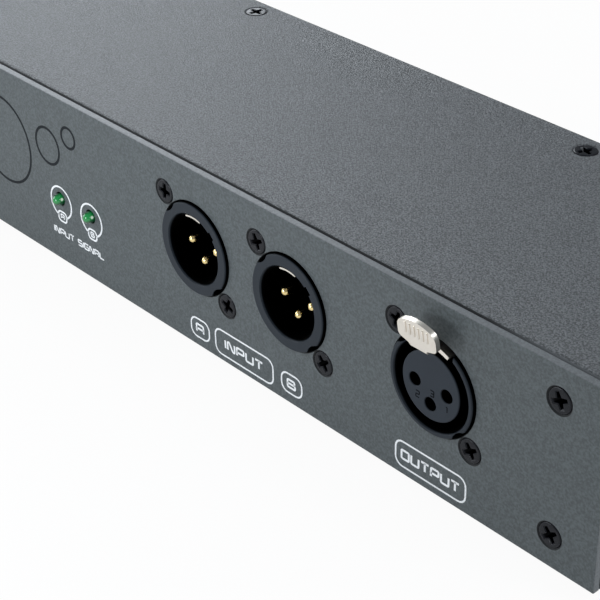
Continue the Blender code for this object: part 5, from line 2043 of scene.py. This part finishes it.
GLYPHS: dict[str, list[list[tuple[float, float]]]] = {
    "A": [[(0, 0), (0, 1), (1, 1), (1, 0)], [(0, 0.42), (1, 0.42)]],
    "B": [[(0, 0.5), (0, 1), (0.92, 1), (0.92, 0.5)], [(0, 0.5), (0, 0), (1, 0), (1, 0.5), (0, 0.5)]],
    "G": [[(1, 1), (0, 1), (0, 0), (1, 0), (1, 0.5), (0.45, 0.5)]],
    "I": [[(0, 0), (0, 1)]],
    "L": [[(0, 1), (0, 0), (1, 0)]],
    "N": [[(0, 0), (0, 1), (0.25, 1), (0.75, 0), (1, 0), (1, 1)]],
    "O": [[(0.5, 0), (0, 0), (0, 1), (1, 1), (1, 0), (0.5, 0)]],
    "P": [[(0, 0), (0, 1), (1, 1), (1, 0.4), (0, 0.4)]],
    "S": [[(1, 1), (0, 1), (0, 0.5), (1, 0.5), (1, 0), (0, 0)]],
    "T": [[(0, 1), (1, 1)], [(0.5, 1), (0.5, 0)]],
    "U": [[(0, 1), (0, 0), (1, 0), (1, 1)]],
    "1": [[(0.15, 0.8), (0.5, 1), (0.5, 0)]],
    "2": [[(0, 1), (1, 1), (1, 0.5), (0, 0.5), (0, 0), (1, 0)]],
    "3": [[(0, 1), (1, 1), (1, 0), (0, 0)], [(0.2, 0.5), (1, 0.5)]],
}
NARROW = {"I": 0.0, " ": 0.45}
LETTER_GAP = 0.34


def lettering(text: str, middle: Point, width: float, height: float) -> list[Line]:
    """Draws a word in squared capitals.

    Args:
        text: The word.
        middle: Its middle, in x and z.
        width: Its whole width.
        height: The capitals' height.

    Returns:
        Lines for the ink tree, none of them closed.
    """
    spans = [NARROW.get(letter, 1.0) for letter in text]
    scale = width / (sum(spans) + LETTER_GAP * (len(text) - 1))
    lines: list[Line] = []
    start = middle[0] - width / 2
    for letter, span in zip(text, spans):
        for stroke in GLYPHS.get(letter, []):
            points = [(start + x * scale * (span or 1.0), middle[1] + (y - 0.5) * height) for x, y in stroke]
            lines.append((points, False))
        start += (span + LETTER_GAP) * scale
    return lines


def frame_lines(middle: Point, width: float, height: float) -> Line:
    """A closed rectangle for the ink tree to round.

    Args:
        middle: Its middle, in x and z.
        width: Its width.
        height: Its height.

    Returns:
        The line.
    """
    x, z = middle
    w, h = width / 2, height / 2
    return [(x - w, z - h), (x - w, z + h), (x + w, z + h), (x + w, z - h)], True


def circle_line(middle: Point, radius: float, steps: int = 96) -> Line:
    """A closed circle for the ink tree."""
    return arc(middle, radius, 0, 360, steps)[:-1], True


@dataclass(frozen=True)
class Label:
    """A framed word on the panel in millimetres, its heights measured from the middle of the row."""

    text: str
    word_place: tuple[float, float]
    word_size: tuple[float, float]
    frame_place: tuple[float, float]
    frame_size: tuple[float, float]


LABELS = (
    Label("A", (2.45, -0.1), (2.5, 2.0), (2.55, -0.1), (6.65, 5.1)),
    Label("B", (34.5, 0.15), (2.5, 2.0), (34.6, 0.15), (6.75, 5.1)),
    Label("INPUT", (18.2, 0.0), (13.0, 2.1), (18.25, -0.05), (20.2, 6.65)),
    Label("OUTPUT", (77.3, 0.1), (16.4, 2.15), (77.35, 0.15), (20.0, 6.4)),
)
# Plain circles on the panel in millimetres: x, z and radius
CIRCLES = ((-45.78, 40.74, 2.74), (-55.24, 35.35, 4.88), (-75.37, 30.15, 11.86))
# Digits on the output's insert in millimetres from its axis: digit, x, z and height
DIGITS = (("2", -3.5, -3.45, 1.5), ("3", 0.5, -1.45, 1.4), ("1", 4.7, -3.2, 1.5))


@dataclass
class Print:
    """The framed words, the rings and badges round the lamps, the circles and the insert's digits."""

    label_z: float = 8.6 * MM
    ring_radius: float = 4.30 * MM
    ring_shift: float = 0.20 * MM
    ring_drop: float = 0.95 * MM
    badge_drop: float = 4.12 * MM
    badge_size: tuple[float, float] = (3.40 * MM, 2.80 * MM)
    badge_letter: tuple[float, float] = (1.3 * MM, 1.2 * MM)
    heading_place: tuple[float, float] = (-45.4 * MM, 11.95 * MM)
    heading_size: tuple[float, float] = (21.0 * MM, 1.55 * MM)
    digit_width: float = 0.95 * MM
    frame_pen: Pen = Pen(0.45 * MM, 2.0 * MM)
    word_pen: Pen = Pen(0.56 * MM, 0.32 * MM)
    ring_pen: Pen = Pen(0.50 * MM, 0.0)
    badge_pen: Pen = Pen(0.50 * MM, 1.0 * MM)
    small_pen: Pen = Pen(0.40 * MM, 0.2 * MM)
    circle_pen: Pen = Pen(0.72 * MM, 0.0, DARK_INK)
    digit_pen: Pen = Pen(0.26 * MM, 0.18 * MM, DIGIT_INK)

    def lay(
        self,
        tools: Tools,
        name: str,
        lines: Sequence[Line],
        pen: Pen,
        depth: float = 0.0,
        slot: Slot = Slot.PAINT,
    ) -> None:
        """Lays one group of lines on a face that looks forwards.

        Args:
            tools: The shared trees.
            name: The piece's name.
            lines: What is drawn, in x and z.
            pen: What it is drawn with.
            depth: Where the face lies behind the panel's own.
            slot: Not used.
        """
        publish(name, tools.inked(lines, pen, facing_front(0.0, depth, 0.0)), pen.ink)

    def build_labels(self, tools: Tools) -> None:
        """The framed words under the connectors.

        Args:
            tools: The shared trees.
        """
        frames: list[Line] = []
        words: list[Line] = []
        for label in LABELS:
            x, lift = label.frame_place
            width, height = label.frame_size
            frames.append(frame_lines((x * MM, self.label_z + lift * MM), width * MM, height * MM))
            x, lift = label.word_place
            width, height = label.word_size
            words += lettering(label.text, (x * MM, self.label_z + lift * MM), width * MM, height * MM)
        self.lay(tools, "label_frames", frames, self.frame_pen)
        self.lay(tools, "label_words", words, self.word_pen)

    def lamp_ring(self, x: float, z: float) -> Line:
        """A ring round a lamp, open below where a badge holds the lamp's letter."""
        open_half = math.degrees(math.asin(self.badge_size[0] / 2 / self.ring_radius))
        return arc((x, z), self.ring_radius, -90 + open_half, 270 - open_half, 96), False

    def build_lamp_marks(self, tools: Tools) -> None:
        """The rings round the lamps, their badges and letters, and the words under them.

        Args:
            tools: The shared trees.
        """
        rings: list[Line] = []
        badges: list[Line] = []
        words: list[Line] = []
        for node, letter in LAMP_LETTERS.items():
            lamp_x, lamp_z = Lamps.axis(node)
            x, z = lamp_x + self.ring_shift, lamp_z - self.ring_drop
            badge = (x, z - self.badge_drop)
            rings.append(self.lamp_ring(x, z))
            badges.append(frame_lines(badge, *self.badge_size))
            words += lettering(letter, badge, *self.badge_letter)
        words += lettering("INPUT SIGNAL", self.heading_place, *self.heading_size)
        self.lay(tools, "lamp_rings", rings, self.ring_pen)
        self.lay(tools, "lamp_badges", badges, self.badge_pen)
        self.lay(tools, "lamp_words", words, self.small_pen)

    def build(self, tools: Tools) -> None:
        """Builds all the print.

        Args:
            tools: The shared trees.
        """
        self.build_labels(tools)
        self.build_lamp_marks(tools)
        circles = [circle_line((x * MM, z * MM), radius * MM) for x, z, radius in CIRCLES]
        self.lay(tools, "panel_circles", circles, self.circle_pen)
        axis = CONNECTORS["output"]
        digits: list[Line] = []
        for digit, x, z, height in DIGITS:
            digits += lettering(digit, (axis + x * MM, AXIS_Z + z * MM), self.digit_width, height * MM)
        depth = -SocketConnector.insert_proud
        self.lay(tools, "insert_digits", digits, self.digit_pen, depth, Slot.INSERT)


# Rear and inside


@dataclass
class PowerEntry:
    """The inlet and the rocker switch in the rear wall.

    Its mark_share says how far out along the rocker's slopes the two marks lie.
    """

    edge: float = 0.3 * MM
    bush_radius: float = 4.1 * MM
    cavity_radius: float = 3.1 * MM
    cavity_depth: float = 9.5 * MM
    pin_radius: float = 1.05 * MM
    bezel: float = 1.0 * MM
    bezel_thickness: float = 1.8 * MM
    bezel_edge: float = 0.5 * MM
    opening_half: float = 6.8 * MM
    well_inset_x: float = 1.2 * MM
    well_inset_z: float = 0.8 * MM
    well_floor: float = 68.6 * MM
    leg_pitch: float = 2.54 * MM
    leg_half: float = 0.5 * MM
    rocker_inset: float = 1.6 * MM
    rocker_rise: float = 2.57 * MM
    rocker_valley: float = 1.6 * MM
    rocker_belly: float = 3.0 * MM
    rocker_edge: float = 0.25 * MM
    rocker_end_round: float = 0.5 * MM
    rocker_belly_round: float = 0.8 * MM
    rocker_valley_round: float = 2.0 * MM
    rocker_tilt: float = 9.0
    pivot_inset: float = 1.0 * MM
    mark_share: float = 0.56
    bar_half: float = 0.9 * MM
    circle_radius: float = 0.85 * MM
    mark_pen: Pen = Pen(0.42 * MM, 0.0, WHITE_INK, 0.08 * MM)

    def build_inlet(self) -> None:
        """The inlet's body with its round bush, and its centre pin."""
        low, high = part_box("dc_inlet_body")
        pin_low, pin_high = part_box("dc_inlet_pin")
        x, z, end = (low.x + high.x) / 2, (pin_low.z + pin_high.z) / 2, high.y
        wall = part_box("chassis_tray")[1].y - Enclosure.sheet - FIT
        turn = Matrix.Rotation(math.radians(-90), 4, "X")
        rear = Matrix.Translation((x, end, z)) @ turn
        edge, core = self.edge, self.pin_radius + FIT
        bush = [(0.0, 0.0), *arc((self.bush_radius - edge, -edge), edge, 90, 0, 4)]
        bush += [(self.bush_radius, wall - PAST - end), (0.0, wall - PAST - end)]
        cavity = [(0.0, PAST), (self.cavity_radius + edge + PAST, PAST), (self.cavity_radius, -edge)]
        cavity += [(self.cavity_radius, -self.cavity_depth), (core, -self.cavity_depth)]
        cavity += [(core, low.y - PAST - end), (0.0, low.y - PAST - end)]
        job = Job("dc_inlet_body", Shape().block(low, (high.x, wall, high.z), edge))
        job.join(Shape().turned(bush, rear, 64)).cut(Shape().turned(cavity, rear, 64))
        publish("fine_dc_inlet_body", job.done(), BLACK, ["dc_inlet_body"])

        tip = arc((0.0, -self.pin_radius), self.pin_radius, 90, 0, 6)
        foot = pin_low.y - pin_high.y
        pin = [(0.0, 0.0), *tip[1:], (self.pin_radius, foot), (0.0, foot)]
        mesh = Shape().turned(pin, Matrix.Translation((x, pin_high.y, z)) @ turn, 32).mesh("pin")
        publish("fine_dc_inlet_pin", mesh, NICKEL, ["dc_inlet_pin"])

    def opening(self) -> tuple[float, float, float, float]:
        """The wall's opening for the switch.

        Returns:
            The x and z of its middle, and half its width and height.
        """
        low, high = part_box("switch_body")
        x, half_x = (low.x + high.x) / 2, (high.x - low.x) / 2 - self.bezel
        return x, high.z - self.bezel - self.opening_half, half_x, self.opening_half

    def build_switch_body(self) -> None:
        """The switch's body with its bezel, its well and its legs."""
        low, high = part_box("switch_body")
        x, z, half_x, half_z = self.opening()
        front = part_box("chassis_tray")[1].y + FIT
        back = front + self.bezel_thickness
        body = Shape().block((x - half_x, low.y, z - half_z), (x + half_x, front + PAST, z + half_z))
        bezel = Shape().block(
            (low.x, front, z - half_z - self.bezel), (high.x, back, high.z), self.bezel_edge, 4
        )
        well_x, well_z = half_x - self.well_inset_x, half_z - self.well_inset_z
        well = Shape().block(
            (x - well_x, behind(self.well_floor), z - well_z), (x + well_x, back + PAST, z + well_z)
        )
        legs, half, leg_y = Shape(), self.leg_half, low.y + self.leg_pitch
        for sign in SIDES.values():
            spot = x + sign * self.leg_pitch
            legs.block((spot - half, leg_y - half, low.z), (spot + half, leg_y + half, z - half_z + half))
        mesh = Job("switch_body", body).join(bezel, legs).cut(well).done()
        publish("fine_switch_body", mesh, BLACK, ["switch_body"])

    def build_rocker(self, tools: Tools) -> None:
        """The rocker and its two marks.

        Args:
            tools: The shared trees.
        """
        x, z, half_x, half_z = self.opening()
        end = half_z - self.rocker_inset
        rise, valley = self.pivot_inset + self.rocker_rise, self.pivot_inset + self.rocker_valley
        outline = rounded(
            [
                (rise, end, self.rocker_end_round),
                (0.0, end, 0.0),
                (-self.rocker_belly, 0.0, self.rocker_belly_round),
                (0.0, -end, 0.0),
                (rise, -end, self.rocker_end_round),
                (valley, 0.0, self.rocker_valley_round),
            ]
        )
        pivot = Matrix.Translation((x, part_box("chassis_tray")[1].y - self.pivot_inset, z))
        tilt = pivot @ Matrix.Rotation(math.radians(self.rocker_tilt), 4, "X")
        width = 2 * (half_x - self.well_inset_x - FIT)
        place = tilt @ facing_side(0.0, 0.0, 0.0)
        rocker = Shape().prism(outline, width, place, self.rocker_edge).mesh("rocker")
        publish("fine_switch_rocker", rocker, BLACK, ["switch_rocker"], Rider.ROCKER)

        slope, share = math.atan2(rise - valley, end), self.mark_share
        bar = ([(0.0, -self.bar_half), (0.0, self.bar_half)], False)
        circle = circle_line((0, 0), self.circle_radius, 32)
        for name, sign, line in (("rocker_on_mark", 1, bar), ("rocker_off_mark", -1, circle)):
            spot = Matrix.Translation((0.0, valley + (rise - valley) * share, sign * end * share))
            lean = Matrix.Rotation(-math.radians(90) - sign * slope, 4, "X")
            mark = tools.inked([line], self.mark_pen, tilt @ spot @ lean)
            publish(name, mark, WHITE_INK, (), Rider.ROCKER)

    def build(self, tools: Tools) -> None:
        """Builds the power entry's pieces.

        Args:
            tools: The shared trees.
        """
        self.build_inlet()
        self.build_switch_body()
        self.build_rocker(tools)


def dress_nodes() -> None:
    """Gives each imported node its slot's finish, shown or not."""
    for entry in frame["record"]["subparts"]:
        obj = frame["nodes"][entry["node"]]
        finish = SLOT_FINISH[Slot(entry["material_slot"])]
        obj.data.materials.clear()
        obj.data.materials.append(finish.make())


# Studio


@dataclass(frozen=True)
class Softbox:
    """A square soft light: where it stands, what it points at, its side and its power in watts."""

    name: str
    place: Point
    target: Point
    size: float
    power: float
    tint: Colour = (0.89, 0.945, 1.0)

    def build(self) -> None:
        """Builds the light."""
        data = bpy.data.lights.new(self.name, "AREA")
        data.size, data.energy, data.color = self.size, self.power, self.tint
        light = placed(self.name, data)
        light.visible_camera = False
        aim = (Vector(self.target) - Vector(self.place)).to_track_quat("-Z", "Y").to_matrix().to_4x4()
        light.matrix_world = Matrix.Translation(self.place) @ aim


@dataclass
class Studio:
    """Pale floor, soft light and the photograph's viewpoint.

    Its floor_white is the share of plain white in what the camera sees of the floor.
    """

    camera_place: Point = (0.2701, -0.240505, 0.22465)
    right: Point = (0.66880, 0.74323, -0.01768)
    down: Point = (0.38246, -0.36435, -0.84910)
    forward: Point = (-0.63752, 0.56111, -0.52794)
    lens: float = 102.475
    sensor: float = 36.0
    floor_half: float = 3.0
    floor_colour: Colour = (0.86, 0.86, 0.86)
    floor_white: float = 0.95
    surround: Colour = (0.88, 0.94, 1.0)
    surround_strength: float = 0.30
    lights: tuple[Softbox, ...] = (
        Softbox("left_softbox", (-0.78, 0.40, 0.50), (-0.04, 0.0, 0.03), 0.5, 4.1),
        Softbox("front_softbox", (-0.55, -0.35, 0.24), (-0.04, 0.0, 0.03), 0.4, 1.6),
        Softbox("front_lamp", (-0.02, -0.23, 0.07), (-0.01, 0.0, 0.03), 0.05, 0.145),
        Softbox("right_softbox", (0.70, 0.15, 0.75), (0.02, 0.0, 0.03), 0.25, 3.3),
        Softbox("glint_lamp", (0.50, -0.13, 0.28), (0.0, 0.0, 0.03), 0.05, 0.25),
    )

    def build_camera(self) -> None:
        """The camera at the photograph's angle."""
        data = bpy.data.cameras.new("camera")
        data.lens, data.sensor_width, data.sensor_fit = self.lens, self.sensor, "HORIZONTAL"
        data.clip_start, data.clip_end = 0.01, 20.0
        camera = placed("camera", data)
        axes = Matrix((self.right, -Vector(self.down), -Vector(self.forward))).transposed().to_4x4()
        camera.matrix_world = Matrix.Translation(self.camera_place) @ axes
        bpy.context.scene.camera = camera

    def build_floor(self) -> None:
        """A plain pale floor that shows white but keeps the object's shadow."""
        bm = bmesh.new()
        bmesh.ops.create_grid(bm, x_segments=1, y_segments=1, size=self.floor_half)
        mesh = bpy.data.meshes.new("floor")
        bm.to_mesh(mesh)
        bm.free()
        surface = Surface("pale_floor")
        surface.set(Base_Color=(*self.floor_colour, 1.0), Roughness=0.9, Specular_IOR_Level=0.1)
        rays = surface.node("ShaderNodeLightPath").outputs
        seen = Value(surface, rays["Is Camera Ray"]) + Value(surface, rays["Is Glossy Ray"]) * 0.5
        white = surface.node("ShaderNodeEmission", None, {"Color": (1, 1, 1, 1), "Strength": 1.0})
        sockets = {0: seen * self.floor_white, 1: surface.shader.outputs[0], 2: white.outputs[0]}
        mixed = surface.node("ShaderNodeMixShader", None, sockets)
        surface.feed(surface.output.inputs["Surface"], mixed.outputs[0])
        mesh.materials.append(surface.material)
        floor = placed("floor", mesh)

    def build_world(self) -> None:
        """An even pale surround, white to the camera."""
        world = bpy.data.worlds.new("studio")
        bpy.context.scene.world = world
        world.use_nodes = True
        graph = Graph(world.node_tree)
        background = world.node_tree.nodes["Background"]
        background.inputs["Color"].default_value = (*self.surround, 1.0)
        background.inputs["Strength"].default_value = self.surround_strength
        white = graph.node("ShaderNodeBackground", None, {"Color": (1, 1, 1, 1), "Strength": 1.0})
        seen = graph.node("ShaderNodeLightPath").outputs["Is Camera Ray"]
        sockets = {0: seen, 1: background.outputs[0], 2: white.outputs[0]}
        mixed = graph.node("ShaderNodeMixShader", None, sockets)
        graph.feed(world.node_tree.nodes["World Output"].inputs["Surface"], mixed.outputs[0])

    def build(self) -> None:
        """Builds the studio and sets the plain view transform."""
        self.build_camera()
        self.build_floor()
        self.build_world()
        for light in self.lights:
            light.build()
        bpy.context.scene.view_settings.view_transform = "Standard"


def main() -> None:
    """Builds the object's looks round the frame, and the studio."""
    logging.basicConfig(level=logging.INFO, format="%(name)s: %(message)s")
    tools, screws = Tools(), Screws()
    dress_nodes()
    Enclosure().build(tools, screws)
    screws.build(tools)
    for name in ("input_a", "input_b"):
        PinConnector(name=name).build(screws)
    SocketConnector().build(tools, screws)
    Lamps().build()
    Print().build(tools)
    PowerEntry().build(tools)
    Studio().build()


if __name__ == "__main__":
    main()
